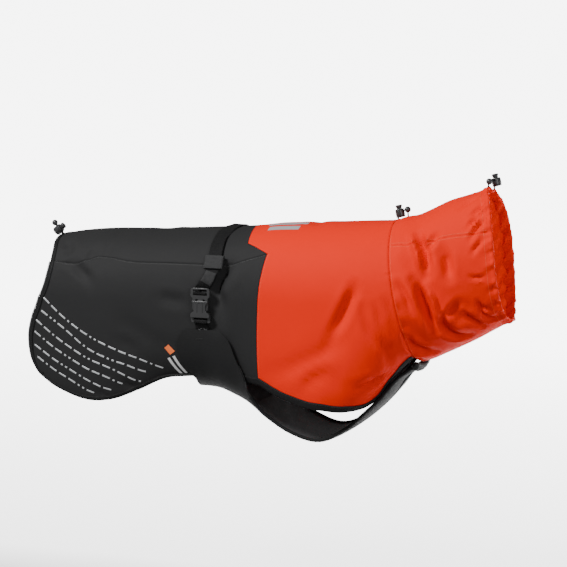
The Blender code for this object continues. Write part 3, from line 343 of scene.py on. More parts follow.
# smaller creases, or ridges where the depth is below zero: half width, depth, points (along, angle)
creases = {"body": (
    (0.0050, 0.0016, ((0.181, -1.553), (0.1883, -1.68), (0.1957, -1.85))),
    (0.0045, 0.0014, ((0.1858, -1.85), (0.1908, -2.04), (0.1982, -2.31))),
    (0.0040, 0.0012, ((0.179, -1.95), (0.186, -2.13), (0.1932, -2.234))),
    (0.0060, 0.0020, ((0.168, -1.62), (0.176, -1.80), (0.185, -2.00))),
    (0.0065, 0.0026, ((0.150, -1.62), (0.1586, -1.824), (0.1809, -2.129), (0.1833, -2.40))),
    (0.0070, 0.0024, ((0.1389, -1.326), (0.1265, -1.614), (0.0969, -1.859))),
    (0.0065, 0.0024, ((0.0598, -2.103), (0.0895, -2.042), (0.1191, -2.059))),
    (0.0055, 0.0022, ((0.1315, -2.208), (0.1562, -2.313), (0.1800, -2.48))),
    (0.0080, 0.0016, ((0.1389, -1.388), (0.1265, -1.597), (0.1092, -1.798))),
    (0.0075, 0.0014, ((0.1438, -2.269), (0.1586, -2.33), (0.1759, -2.452))),
    (0.0060, 0.0012, ((0.0227, -2.077), (0.0598, -1.981), (0.0969, -1.902), (0.1265, -1.85))),
    (0.0110, 0.0012, ((0.060, -2.16), (0.092, -2.08), (0.124, -2.18))),
    (0.0060, 0.0034, ((-0.046, -0.98), (-0.0560, -1.08), (-0.0640, -1.24), (-0.0680, -1.38),
                      (-0.0640, -1.56))),
    (0.0120, 0.0034, ((-0.044, -0.95), (-0.0539, -1.06), (-0.0637, -1.239), (-0.0690, -1.40),
                      (-0.0640, -1.60), (-0.068, -1.78))),
    (0.0090, 0.0016, ((-0.1601, -1.501), (-0.1379, -1.536), (-0.1132, -1.571))),
    (0.0080, 0.0016, ((-0.2293, -1.868), (-0.212, -1.911), (-0.1947, -1.981))),
    (0.0070, 0.0018, ((-0.2713, -0.75), (-0.2762, -0.89), (-0.2812, -1.004))),
    (0.0070, 0.0018, ((-0.3059, -1.004), (-0.2911, -1.117), (-0.2738, -1.257))),
    (0.0050, 0.0012, ((-0.3256, -1.012), (-0.3059, -1.004))),
    (0.0055, 0.0022, ((-0.2293, -2.208), (-0.2169, -2.225), (-0.2046, -2.286))),
    (0.0055, 0.0018, ((-0.2738, -2.199), (-0.2639, -2.199), (-0.254, -2.251))),
    (0.0080, 0.0018, ((-0.330, -0.55), (-0.318, -0.72), (-0.322, -0.88))),
    (0.0070, 0.0014, ((0.168, 1.70), (0.178, 1.92), (0.186, 2.12))),
    (0.0080, 0.0018, ((0.135, 1.45), (0.120, 1.66), (0.105, 1.85))),
    (0.0120, 0.0030, ((-0.044, 0.95), (-0.0559, 1.10), (-0.0650, 1.30), (-0.0660, 1.55))),
    (0.0090, 0.0016, ((-0.165, 1.48), (-0.140, 1.55), (-0.116, 1.58))),
    (0.0080, 0.0016, ((-0.235, 1.80), (-0.205, 1.93), (-0.188, 2.01))),
    (0.0070, 0.0018, ((-0.300, 0.95), (-0.285, 1.12), (-0.277, 1.24))),
    (0.0060, 0.0018, ((-0.262, 2.16), (-0.245, 2.22), (-0.220, 2.27))),
    (0.0100, 0.0014, ((-0.20, 0.25), (-0.18, 0.05), (-0.19, -0.20))),
    (0.0100, 0.0012, ((0.07, 0.35), (0.05, 0.05), (0.065, -0.25))),
), "collar": (
    (0.0062, 0.0044, ((0.225, -1.38), (0.258, -1.49), (0.2958, -1.737), (0.3167, -1.972), (0.3125, -2.234))),
    (0.0050, -0.0026, ((0.33, -1.52), (0.372, -1.74), (0.385, -1.95), (0.372, -2.15))),
    (0.0060, 0.0036, ((0.300, -0.72), (0.3208, -0.838), (0.3708, -1.152), (0.3758, -1.396))),
    (0.0060, -0.0016, ((0.235, -0.70), (0.2542, -0.80), (0.305, -1.05), (0.3167, -1.292))),
    (0.0065, 0.0022, ((0.5375, -1.187), (0.554, -1.335), (0.558, -1.58))),
    (0.0055, 0.0036, ((0.395, -2.06), (0.41, -2.16), (0.445, -2.38), (0.52, -2.56), (0.6125, -2.66))),
    (0.0050, -0.0020, ((0.46, -2.00), (0.50, -2.16), (0.555, -2.34), (0.63, -2.46))),
    (0.0050, 0.0030, ((0.60, -2.12), (0.66, -2.26), (0.72, -2.44), (0.76, -2.60))),
    (0.0070, 0.0036, ((0.02, -2.12), (0.055, -2.321), (0.1375, -2.513), (0.22, -2.66))),
    (0.0060, 0.0024, ((0.4625, -2.094), (0.5333, -2.033), (0.6125, -1.963))),
    (0.0050, 0.0020, ((0.49, -0.846), (0.4125, -0.995), (0.36, -1.04))),
    (0.0034, 0.0019, ((0.7958, -0.785), (0.8792, -0.707), (0.9458, -0.62))),
    (0.0034, 0.0018, ((0.7667, -0.96), (0.8542, -0.838), (0.95, -0.777))),
    (0.0038, 0.0019, ((0.7792, -1.152), (0.8542, -1.012), (0.9542, -0.951))),
    (0.0034, 0.0014, ((0.79, -1.36), (0.84, -1.28), (0.91, -1.22))),
    (0.0032, 0.0020, ((0.7833, -2.06), (0.8125, -2.20), (0.8958, -2.33))),
    (0.0032, 0.0020, ((0.78, -2.129), (0.8125, -2.356), (0.88, -2.50))),
    (0.0034, 0.0018, ((0.77, -2.36), (0.8542, -2.52), (0.93, -2.60))),
    (0.0032, 0.0013, ((0.74, -1.65), (0.80, -1.72), (0.90, -1.76))),
    (0.0035, 0.0012, ((0.70, -0.55), (0.80, -0.42), (0.93, -0.36))),
    (0.0040, 0.0016, ((0.08, -1.35), (0.13, -1.55), (0.16, -1.80))),
    (0.0042, 0.0020, ((0.99, 0.62), (0.90, 0.86), (0.80, 0.98))),
    (0.0046, 0.0026, ((0.98, 0.98), (0.89, 1.20), (0.78, 1.34))),
    (0.0042, 0.0024, ((0.98, 1.26), (0.90, 1.50), (0.80, 1.62))),
    (0.0052, 0.0030, ((0.98, 1.52), (0.88, 1.76), (0.76, 1.90))),
    (0.0042, 0.0025, ((0.99, 1.82), (0.91, 2.02), (0.80, 2.15))),
    (0.0048, 0.0022, ((0.98, 2.10), (0.89, 2.30), (0.78, 2.40))),
    (0.0060, 0.0034, ((0.70, 0.85), (0.60, 1.10), (0.52, 1.25))),
    (0.0060, 0.0034, ((0.72, 2.05), (0.60, 2.20), (0.50, 2.40))),
    (0.0056, 0.0034, ((0.26, 1.20), (0.36, 1.55), (0.34, 1.85), (0.37, 2.15))),
)}


creaseStrength = {"body": 1.7, "collar": 2.8}
# how a crease and a seam lie in the cloth: shares of a half width for a crease, metres for a seam
creaseLook = {"shoulder": 0.30, "shoulderAt": 1.7, "shoulderWidth": 0.8, "endDepth": 0.25, "endShare": 0.3}
seamLook = {"width": 0.0009, "lip": 0.25, "lipAt": 0.0032, "lipWidth": 0.0018, "puckerWidth": 0.007,
            "reach": 0.016}


def creaseLines():
    lines = []
    for kind, form in (("body", plainBody), ("collar", plainCollar)):
        for halfWidth, deep, points in creases[kind]:
            way = curveThrough(np.array(points), 5)
            lines.append((halfWidth, deep * creaseStrength[kind], form(way[:, 0], way[:, 1])))
    return lines


def curveThrough(points, steps):
    points = np.asarray(points, float)
    lengths = np.concatenate([[0], np.cumsum(np.linalg.norm(np.diff(points, axis=0), axis=1))])
    at = np.linspace(0, lengths[-1], steps * (len(points) - 1) + 1)
    return np.stack([smoothValue(lengths, column, at) for column in points.T], -1)


def awayFrom(points, line, reach):
    # distance to a line of points, and the share of its length where it is nearest
    gap = np.full(points.shape[:-1], 1.0)
    share = np.zeros(points.shape[:-1])
    low, high = line.min(0) - reach, line.max(0) + reach
    near = np.all((points > low) & (points < high), axis=-1)
    if not near.any():
        return gap, share
    some = points[near]
    best, where = np.full(len(some), 1.0), np.zeros(len(some))
    for k, (start, end) in enumerate(zip(line, line[1:])):
        run = end - start
        t = np.clip((some - start) @ run / max(run @ run, 1e-12), 0, 1)
        distance = np.linalg.norm(some - start - t[:, None] * run, axis=1)
        closer = distance < best
        best[closer] = distance[closer]
        where[closer] = (k + t[closer]) / (len(line) - 1)
    gap[near], share[near] = best, where
    return gap, share


seamLines = []
creaseWays = creaseLines()


def hill(gap, width):
    return np.exp(-(gap / width) ** 2)


def reliefDepth(point):
    depth = np.zeros(point.shape[:-1])
    look, ends = creaseLook, creaseLook["endShare"]
    for halfWidth, deep, line in creaseWays:
        gap, share = awayFrom(point, line, 3 * halfWidth)
        d = gap / halfWidth
        taper = look["endDepth"] + (1 - look["endDepth"]) * fade(share / ends) * fade((1 - share) / ends)
        depth += deep * taper * (hill(d, 1) - look["shoulder"] * hill(d - look["shoulderAt"],
                                                                      look["shoulderWidth"]))
    look = seamLook
    for line, dip, pucker, pitch in seamLines:
        gap, share = awayFrom(point, line, look["reach"])
        turns = share * len(line) * 2 * math.pi * pitch
        depth += dip * (hill(gap, look["width"]) - look["lip"] * hill(gap - look["lipAt"], look["lipWidth"]))
        wave = np.sin(turns + 1.3 * np.sin(turns * 0.37)) * (0.6 + 0.4 * np.sin(turns * 0.173 + 1.0))
        depth += pucker * wave * hill(gap, look["puckerWidth"]) * (gap < 0.9)
    return depth


# gathers that the cords draw into the collar: depth, folds in a turn and how they wander
gathers = {"rim": (0.0016, 22, 0.9, 3), "fineRim": (0.0007, 51, 2.1, 5), "neck": (0.0014, 26, 1.3, 2)}


def gatherWave(name, angle):
    deep, folds, wander, slow = gathers[name]
    return deep * np.cos(folds * angle + wander * np.sin(slow * angle))


def gatherDepth(share, angle):
    rim = gatherWave("rim", angle) + gatherWave("fineRim", angle) * fade((share - 0.86) / 0.08)
    neck = gatherWave("neck", angle) * fade((np.abs(angle) - 0.9) / 0.7)
    start = fade(share / 0.03) * (1 - fade(share / 0.14))
    return rim * (1 - fade((1 - share) / 0.16)) + neck * start


def skin(form, along, angle, lift=0.0, relief=True):
    along, angle = np.broadcast_arrays(np.asarray(along, float), np.asarray(angle, float))
    point = form(along, angle)
    direction = outward(form, along, angle)
    depth = foldDepth(point, angle)
    if form is plainCollar:
        depth = depth + gatherDepth(along, angle)
    if relief:
        depth = depth + reliefDepth(point)
    return point + direction * (lift - depth)[..., None], direction


# seams and hems in side view (x, z)
tailEdge = ((-0.3575, -0.032), (-0.350, -0.037), (-0.345, -0.047), (-0.343, -0.062))
yokeSeam = ((-0.343, -0.062), (-0.300, -0.062), (-0.262, -0.050), (-0.210, -0.055), (-0.150, -0.054),
            (-0.060, -0.052), (-0.030, -0.045), (0.003, -0.035))
frontTop, frontCorner = -0.040, (-0.032, -0.023)
frontSeam = ((0.003, -0.035), (-0.003, -0.080), (-0.006, -0.150), (-0.006, -0.2230))
rearEdge = ((-0.343, -0.062), (-0.345, -0.080), (-0.350, -0.100), (-0.360, -0.122), (-0.369, -0.143),
            (-0.3765, -0.170), (-0.3770, -0.190), (-0.3735, -0.2115), (-0.3635, -0.2310))
rearHem = ((-0.3635, -0.2310), (-0.340, -0.2475), (-0.306, -0.2615), (-0.268, -0.267), (-0.232, -0.2600),
           (-0.200, -0.2460), (-0.165, -0.2290), (-0.125, -0.2225), (-0.065, -0.2185), (-0.006, -0.2230))
frontHem = ((-0.006, -0.2230), (0.025, -0.239), (0.062, -0.251), (0.0874, -0.2546), (0.1058, -0.2569),
            (0.1236, -0.2568), (0.1355, -0.2554), (0.1462, -0.2520), (0.1553, -0.2455), (0.164, -0.2370),
            (0.1735, -0.2245), (0.1849, -0.2075), (0.1945, -0.1955), (0.2085, -0.182))
wingRear = ((-0.112, -0.2235), (-0.126, -0.195), (-0.131, -0.171), (-0.120, -0.150))
wingTop = ((-0.120, -0.150), (-0.0625, -0.146))
wingFront = ((-0.0625, -0.146), (-0.048, -0.160), (-0.038, -0.186), (-0.026, -0.214), (-0.023, -0.236))
strip = ((0.008, 0.066), (0.040, 0.064), (0.076, 0.062), (0.110, 0.060), (0.142, 0.057), (0.158, 0.051),
         (0.172, 0.044), (0.185, 0.037), (0.197, 0.031), (0.2085, 0.026))
bellyRear = -0.122


def angleAtHeight(x, z):
    top, widest, bottom, _, roundTop, roundBottom = columnsAt(bodyRows, x)
    upper = z > widest
    up = np.clip((z - widest) / np.where(upper, top - widest, widest - bottom), -0.9999, 0.9999)
    roundness = np.where(upper, roundTop, roundBottom)
    return np.arctan2((1 - np.abs(up) ** roundness) ** (1 / roundness), up)


def angleAtWidth(x, width):
    halfWidth, roundBottom = np.array(columnsAt(bodyRows, x))[[3, 5]]
    across = np.minimum(width / halfWidth, 0.999)
    return np.arctan2(across, -(1 - across ** roundBottom) ** (1 / roundBottom))


def onForm(points):
    x, z = np.array(points).T
    return np.stack([x, turnReach * angleAtHeight(x, z)], -1)


def sharesOf(path):
    lengths = np.concatenate([[0], np.cumsum(np.linalg.norm(np.diff(path, axis=0), axis=1))])
    return lengths / lengths[-1], lengths[-1]


def placeOn(path, share):
    shares = sharesOf(path)[0]
    return np.stack([np.interp(share, shares, column) for column in path.T], -1)


def patchBetween(top, bottom, rear, front):
    def place(along, down):
        along, down = np.broadcast_arrays(along, down)
        a, d = along[..., None], down[..., None]
        corners = (1 - d) * ((1 - a) * rear[0] + a * front[0]) + d * ((1 - a) * rear[-1] + a * front[-1])
        return ((1 - d) * placeOn(top, along) + d * placeOn(bottom, along)
                + (1 - a) * placeOn(rear, down) + a * placeOn(front, down) - corners)
    return place


# rows close to an edge, where a panel's rim turns
edgeSteps, edgeMargin = np.array((0.0007, 0.0014, 0.0024)), 0.004


def gradedShares(path, corners, spacing):
    shares, length = sharesOf(path)
    stops = [0.0] + [shares[k] for k in corners] + [1.0]
    made = [0.0]
    for start, end in zip(stops, stops[1:]):
        span = (end - start) * length
        count = max(3, round((span - 2 * edgeMargin) / spacing))
        inner = np.linspace(edgeMargin, span - edgeMargin, count + 1)
        local = np.concatenate([edgeSteps, inner, span - edgeSteps[::-1], [span]])
        made += list(start + local / length)
    return np.array(made)


ridgeBack = np.array([(tailEdge[0][0], 0.0), (frontTop, 0.0)])
ridgeFront = np.array([(frontTop, 0.0), (collarRows[0][1], 0.0)])
tailLine = curveThrough(np.concatenate([[(tailEdge[0][0], 0.0)], onForm(tailEdge[1:])]), 6)
yokeLine = curveThrough(onForm(yokeSeam), 6)
hookPoint = onForm([frontCorner])[0]
frontJoint = onForm(frontSeam[:1])[0]
frontTopLine = np.array([(frontTop, 0.0), hookPoint, frontJoint])
frontSeamLine = curveThrough(onForm(frontSeam), 6)
rearLine = curveThrough(onForm(rearEdge), 6)
rearHemLine = curveThrough(onForm(rearHem), 6)
frontHemLine = curveThrough(onForm(frontHem), 6)
neckTurns = np.linspace(0, frontHemLine[-1, 1], 60)
neckLine = np.stack([neckX(neckTurns / turnReach), neckTurns], -1)
frontHemLine[-1] = neckLine[-1]
stripX, stripWidth = np.array(strip).T
stripLine = np.stack([stripX, turnReach * angleAtWidth(stripX, stripWidth)], -1)
wingFrontLine = curveThrough(np.concatenate([onForm(wingFront), stripLine]), 6)
wingRearLine = curveThrough(onForm(wingRear), 6)
shellRearLine = np.concatenate([frontTopLine, frontSeamLine[1:]])
panelEdgeLine = np.concatenate([onForm(wingTop), wingFrontLine[1:]])
bellyMiddle = np.array([(bellyRear, math.pi * turnReach),
                        (wingFrontLine[-1, 0] + 0.002, math.pi * turnReach)])
patches = {
    "yoke": patchBetween(ridgeBack, yokeLine, tailLine, frontTopLine),
    "side": patchBetween(yokeLine, rearHemLine, rearLine, frontSeamLine),
    "front": patchBetween(ridgeFront, frontHemLine, shellRearLine, neckLine),
    "belly": patchBetween(bellyMiddle, panelEdgeLine, np.concatenate([bellyMiddle[:1], wingRearLine]),
                          np.array([bellyMiddle[1], wingFrontLine[-1]])),
}


def collarSeamAngle(share):
    return 0.77 + 0.38 * share


# every seam as points in space, with its dip, the height of the puckers beside it and their pitch
def addSeam(form, way, dip, pucker, pitch):
    x, angle = way.T
    seamLines.append((form(x, angle), dip, pucker, pitch))


bodySeams = ((yokeLine[::2], 0.0002, 0.45), (shellRearLine[:3], 0.0, 1), (frontSeamLine[::2], 0.0002, 0.55))
for hand, _ in sides:
    for way, pucker, pitch in bodySeams:
        addSeam(plainBody, way * (1, hand / turnReach), 0.0006, pucker, pitch)
    seamShares = np.linspace(0.0, 1.0, 16)
    addSeam(plainCollar, np.stack([seamShares, hand * collarSeamAngle(seamShares)], -1), 0.0003, 0.0003, 0.9)
neckRound = np.linspace(-math.pi, math.pi, 97)
addSeam(plainCollar, np.stack([0 * neckRound, neckRound], -1), 0.0010, 0.00035, 0.62)
print("form ready")


# making pieces
def finishPiece(name, bm, mats, replaced=(), sharp=50):
    bmesh.ops.recalc_face_normals(bm, faces=bm.faces)
    if bm.calc_volume(signed=True) < 0:
        bmesh.ops.reverse_faces(bm, faces=bm.faces)
    mesh = bpy.data.meshes.new(name)
    bm.to_mesh(mesh)
    bm.free()
    for mat in mats:
        mesh.materials.append(mat)
    mesh.shade_smooth()
    mesh.set_sharp_from_angle(angle=math.radians(sharp))
    made = placeObject(name, mesh)
    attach(made, "root")
    if replaced:
        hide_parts(*replaced)
    return made


def gridMesh(rows, columns):
    # a flat grid, and the row and column of each of its points
    bm = bmesh.new()
    bmesh.ops.create_grid(bm, x_segments=columns, y_segments=rows, size=0.5)
    return bm, lambda vert: (round((vert.co.y + 0.5) * rows), round((vert.co.x + 0.5) * columns))


def shellPiece(name, outer, inner, spread, mats, replaced=()):
    # a wall between two grids of points (rows, columns, 3); spread is the cloth's own flat place
    bm, spotOf = gridMesh(outer.shape[0] - 1, outer.shape[1] - 1)
    flat = bm.loops.layers.uv.new("cloth")
    copied = bmesh.ops.extrude_face_region(bm, geom=bm.faces[:], use_keep_orig=True)["geom"]
    inside = {vert for vert in copied if isinstance(vert, bmesh.types.BMVert)}
    for face in bm.faces:
        if len(mats) > 1 and all(vert in inside for vert in face.verts):
            face.material_index = 1
        for loop in face.loops:
            loop[flat].uv = spread[spotOf(loop.vert)]
    for vert in bm.verts:
        vert.co = (inner if vert in inside else outer)[spotOf(vert)]
    return finishPiece(name, bm, mats, replaced)


def tubePiece(name, rings, mats, replaced=(), closed=False, sharp=40):
    # rings of points (stations, points round, 3), capped at both ends or joined end to end
    if closed:
        rings = np.concatenate([rings, rings[:1]])
    rings = np.concatenate([rings, rings[:, :1]], axis=1)
    along = np.concatenate([[0], np.cumsum(np.linalg.norm(np.diff(rings.mean(1), axis=0), axis=1))])
    across = np.concatenate([[0], np.cumsum(np.linalg.norm(np.diff(rings[0], axis=0), axis=1))])
    bm, spotOf = gridMesh(rings.shape[0] - 1, rings.shape[1] - 1)
    flat = bm.loops.layers.uv.new("cloth")
    for face in bm.faces:
        for loop in face.loops:
            r, c = spotOf(loop.vert)
            loop[flat].uv = (across[c], along[r])
    for vert in bm.verts:
        vert.co = rings[spotOf(vert)]
    bmesh.ops.remove_doubles(bm, verts=bm.verts, dist=1e-6)
    ends = [edge for edge in bm.edges if edge.is_boundary]
    if ends:
        bmesh.ops.holes_fill(bm, edges=ends, sides=0)
    return finishPiece(name, bm, mats, replaced, sharp)


# how far each panel stops short of, or runs past, a seam line
seamStep = 0.00015


def bodyPanel(name, patch, shares, seams, side, lift, thick, faces, replaced):
    alongShares, downShares = shares
    rows = np.concatenate([-downShares[:0:-1], downShares]) if side == 0 else downShares
    along, across = np.meshgrid(alongShares, rows)
    spot = patches[patch](along, np.abs(across)).copy()
    edges = {"rear": along == 0, "front": along == 1, "top": (across == 0) & (side != 0),
             "bottom": np.abs(across) == 1}
    for edge, reached in edges.items():
        spot[reached] += np.array(seams.get(edge, (0, 0))) * seamStep
    way = np.where(across < 0, -1, 1) if side == 0 else side
    x, angle = spot[..., 0], way * spot[..., 1] / turnReach
    high = lift(x) if callable(lift) else lift + 0 * x
    outer, direction = skin(plainBody, x, angle, high)
    inner = outer - direction * thick
    mats = [finishes[face] for face in faces]
    made = shellPiece(name, outer, inner, np.stack([x, way * spot[..., 1]], -1), mats, replaced)


cell = {"body": 0.0045, "collar": 0.0030, "belly": 0.0038}
yokeAlong = gradedShares(yokeLine, [], cell["body"])
yokeDown = gradedShares(frontTopLine, [1], cell["body"])
sideDown = gradedShares(frontSeamLine, [], cell["body"])
frontAlong = gradedShares(ridgeFront, [], cell["body"])
frontDown = gradedShares(shellRearLine, [1, 2], cell["body"])
bellyAlong = gradedShares(panelEdgeLine, [1], cell["belly"])
bellyDown = gradedShares(np.array([bellyMiddle[1], wingFrontLine[-1]]) * (1, 4), [], cell["belly"])

wall = {"shell": 0.0012, "lining": 0.0010, "binding": 0.0008, "gap": 0.0003}
bodyPanel("backYoke", "yoke", (yokeAlong, yokeDown), {"front": (-1, 1), "bottom": (0, -1)}, 0, 0.0,
          wall["shell"], ("black", "inside"), ["back_yoke"])
for side, word in sides:
    bodyPanel("sidePanel" + word.title(), "side", (yokeAlong, sideDown), {"front": (-1, 0), "top": (0, 1)},
              side, 0.0, wall["shell"], ("black", "inside"), ["side_panel_" + word])
bodyPanel("frontShell", "front", (frontAlong, frontDown), {"rear": (1, -1), "front": (-1, 0)}, 0, 0.0,
          wall["shell"], ("orange", "lining"), ["front_shell"])
print("body panels made")
# how far the belly panel stands off the body, how much more towards the front, and where its lining starts
belly = {"lift": 0.0036, "rise": 0.0027, "riseFrom": -0.095, "riseOver": 0.040, "lined": 0.27,
         "liningLift": 0.0048}


def bellyLift(x):
    return belly["lift"] + belly["rise"] * fade((x - belly["riseFrom"]) / belly["riseOver"])


bodyPanel("bellyPanel", "belly", (bellyAlong, bellyDown), {}, 0, bellyLift, wall["shell"], ("wing", "inside"),
          ["belly_panel"])
bodyPanel("bellyLining", "belly", (bellyAlong[bellyAlong > belly["lined"]], bellyDown), {}, 0,
          belly["liningLift"], wall["lining"], ("lining",), ["belly_lining"])


# collar
def collarPanel(name, upper, replaced):
    count = 52 if upper else 110
    share = 0.001 + 0.999 * gradedShares(np.array([(0, 0), (collarLength, 0)]), [], cell["collar"])[None, :]
    turn = np.linspace(0, 1, count + 1)
    turn = np.sort(np.concatenate([turn, [0.004, 0.009, 0.991, 0.996]] if upper
                                  else [turn, [0.002, 0.0045, 0.9955, 0.998]]))
    seam = collarSeamAngle(share)
    ends = 0.0015
    if upper:
        angle = (seam - ends) * (2 * turn[:, None] - 1)
    else:
        angle = seam + ends + (2 * (math.pi - seam) - 2 * ends) * turn[:, None]
    share, angle = np.broadcast_arrays(share, angle)
    signedAngle = np.where(angle > math.pi, angle - 2 * math.pi, angle)
    outer, direction = skin(plainCollar, share, signedAngle)
    spread = np.stack([share * collarLength, angle * 0.072], -1)
    # the inner face takes the painted glow of the collar's inside
    made = shellPiece(name, outer, outer - direction * wall["shell"], spread,
                      [finishes["orange"], finishes["glow"]], replaced)


collarPanel("collarTop", True, ["collar_top"])
collarPanel("collarBottom", False, ["collar_bottom"])


def rimHem():
    # the turned hem: a thin roll outside and a wider facing inside, where the cord runs
    out, under = 0.0011, -0.0027
    profile = [(0.0060, 0.0006), (0.0040, 0.0013), (0.0016, 0.0014), (0.0002, out + 0.0001),
               (-0.0009, 0.0003), (-0.0012, -0.0008), (-0.0010, under * 0.7), (-0.0002, under - 0.0006),
               (0.0020, under - 0.0010), (0.0080, under - 0.0008), (0.0130, under - 0.0004), (0.0130, under),
               (0.0060, under - 0.0001), (0.0004, under + 0.0001), (0.0003, 0.0003), (0.0060, 0.0003)]
    angle = np.linspace(-math.pi, math.pi, 241)[:-1]
    base = skin(plainCollar, 1.0 + 0 * angle, angle)[0]
    behind = skin(plainCollar, 0.98 + 0 * angle, angle)[0]
    ahead = unit(base - behind)
    rings = []
    for back, lift in profile:
        share = 1 - max(back, 0.0) / collarLength + 0 * angle
        point = skin(plainCollar, share, angle, lift)[0]
        rings.append(point + ahead * max(-back, 0.0))
    rings = np.stack(rings, 1)
    made = tubePiece("rimHem", rings, [finishes["orange"]], ["collar_hem"], closed=True,
                     sharp=60)


rimHem()
print("collar made")


# folded edges
def edgeStrip(name, way, inward, side, profile, replaced):
    # way and inward are points of the (x, turn) plane on the raw edge and a little inside it
    def lifted(points, lift):
        return skin(plainBody, points[:, 0], side * points[:, 1] / turnReach, lift)[0]

    step = inward - way
    reach = np.linalg.norm(lifted(inward, 0.0) - lifted(way, 0.0), axis=1)
    rings = []
    for across, high in profile:
        point = lifted(way + step * (max(across, 0.0) / reach)[:, None], high)
        if across < 0:
            beside = lifted(way + step * (0.0012 / reach)[:, None], high)
            point = point + unit(point - beside) * -across
        rings.append(point)
    made = tubePiece(name, np.stack(rings, 1), [finishes["binding"]], replaced, sharp=60)


def foldProfile(width, innerWidth, low, high, ease):
    # round a binding's section: over the outer face, round the raw edge, under the inner face and back
    gap, thick = wall["gap"], wall["binding"]
    up, down = high + ease, low - ease
    return [(width, up + 0.0001), (width - 0.0006, up + thick * 0.9), (width * 0.6, up + thick),
            (0.0008, high + gap + thick * 1.1), (-0.0006, high + gap + thick * 0.5),
            (-0.0011, (high + low) / 2), (-0.0006, low - gap - thick * 0.5),
            (0.0008, low - gap - thick * 1.1), (innerWidth * 0.6, down - thick),
            (innerWidth, down - thick * 0.9), (innerWidth, down), (0.0010, low - gap), (-0.0003, low - gap),
            (-0.0003, high + gap), (0.0010, high + gap), (width * 0.6, up)]


def edgeWays(patch, along, down, shift):
    way = patches[patch](along, down)
    return way, patches[patch](along + shift[0], down + shift[1])


def resample(way, inward, spacing):
    shares, length = sharesOf(way)
    at = np.linspace(0, 1, max(3, round(length / spacing)) + 1)
    return (np.stack([np.interp(at, shares, c) for c in way.T], -1),
            np.stack([np.interp(at, shares, c) for c in inward.T], -1))


split = 0.8947
fineShares = np.linspace(0, 1, 121)
rearWay = edgeWays("side", 0 * fineShares[:-1], fineShares[:-1], (0.05, 0))
hemShares = np.linspace(0, split, 101)
hemWay = edgeWays("side", hemShares, 1 + 0 * hemShares, (0, -0.05))
rearAll = np.concatenate([rearWay[0], hemWay[0]])
rearIn = np.concatenate([rearWay[1], hemWay[1]])
afterShares = np.linspace(split + 0.0008, 1, 16)
afterWay = edgeWays("side", afterShares, 1 + 0 * afterShares, (0, -0.05))
frontShares = np.linspace(0.004, 0.997, 101)
frontWay = edgeWays("front", frontShares, 1 + 0 * frontShares, (0, -0.04))
frontAll = np.concatenate([afterWay[0], frontWay[0]])
frontIn = np.concatenate([afterWay[1], frontWay[1]])
stripShares = bellyAlong[patches["belly"](bellyAlong, 1 + 0 * bellyAlong)[:, 0] > -0.020]
stripShares = np.linspace(stripShares[stripShares > 0.3].min(), 1, 121)
stripWay = edgeWays("belly", stripShares, 1 + 0 * stripShares, (0, -0.08))
tailShares = np.linspace(0, 0.999, 41)
tailWay = edgeWays("yoke", 0 * tailShares, tailShares, (0.04, 0))
rearProfile = foldProfile(0.0070, 0.0050, -0.0012, 0.0, 0.0006)
bindingStep = 0.004
bindings = {
    "rear": {"ways": (rearAll, rearIn), "profile": rearProfile, "flat": (0.0145, 0.53), "sewn": 0.0052},
    "front": {"ways": (frontAll, frontIn), "profile": foldProfile(0.0110, 0.0066, -0.0012, 0.0, 0.0006),
              "flat": (0.0195, 0.325), "sewn": 0.0088},
    "strip": {"ways": stripWay, "profile": foldProfile(0.0070, 0.0050, 0.0038, 0.0063, 0.0004),
              "flat": (0.018, 0.30), "sewn": 0.0052},
}


def smoothInward(way, inward):
    # the way in from the edge, turned evenly round a corner
    step = inward - way
    for _ in range(6):
        step[1:-1] = (step[:-2] + 2 * step[1:-1] + step[2:]) / 4
    return way, way + step


for side, word in sides:
    for kind, binding in bindings.items():
        way, inward = smoothInward(*resample(*binding["ways"], bindingStep))
        edgeStrip(kind + "Binding" + word.title(), way, inward, side, binding["profile"],
                  [kind + "_binding_" + word])
way, inward = resample(*tailWay, bindingStep)
mirroredWay = np.concatenate([way[:0:-1] * (1, -1), way])
mirroredIn = np.concatenate([inward[:0:-1] * (1, -1), inward])
edgeStrip("tailCasing", mirroredWay, mirroredIn, 1, rearProfile, ["tail_casing"])


def roundRings(middle, first, second, turns):
    # rings of points round a line of middles, from two directions that already have their lengths
    cos, sin = np.cos(turns)[None, :, None], np.sin(turns)[None, :, None]
    return middle[:, None] + first[:, None] * cos + second[:, None] * sin


def turnsOf(count):
    return np.linspace(0, 2 * math.pi, count + 1)[:-1]


# the rolled front end of the belly strip
tip = {"half": 0.42, "behind": 0.0040, "lift": 0.0062, "along": 0.0068, "out": 0.0056, "end": 0.35,
       "endTurn": 0.07}


def stripTip():
    turns = np.linspace(math.pi - tip["half"], math.pi + tip["half"], 25)
    signed = np.where(turns > math.pi, turns - 2 * math.pi, turns)
    x = neckX(signed) - tip["behind"]
    middle, direction = skin(plainBody, x, signed, tip["lift"])
    along = unit(skin(plainBody, x + 0.001, signed, tip["lift"])[0] - middle)
    size = tip["end"] + (1 - tip["end"]) * fade((tip["half"] - np.abs(turns - math.pi)) / tip["endTurn"])
    rings = roundRings(middle, size[:, None] * tip["along"] * along, size[:, None] * tip["out"] * direction,
                       turnsOf(12))
    tubePiece("stripTip", rings, [finishes["binding"]], [], sharp=60)


stripTip()
print("bindings made")

# reflective piping along the rear edges
pipe = {"radius": 0.0009, "out": 0.0023, "lift": -0.0006}


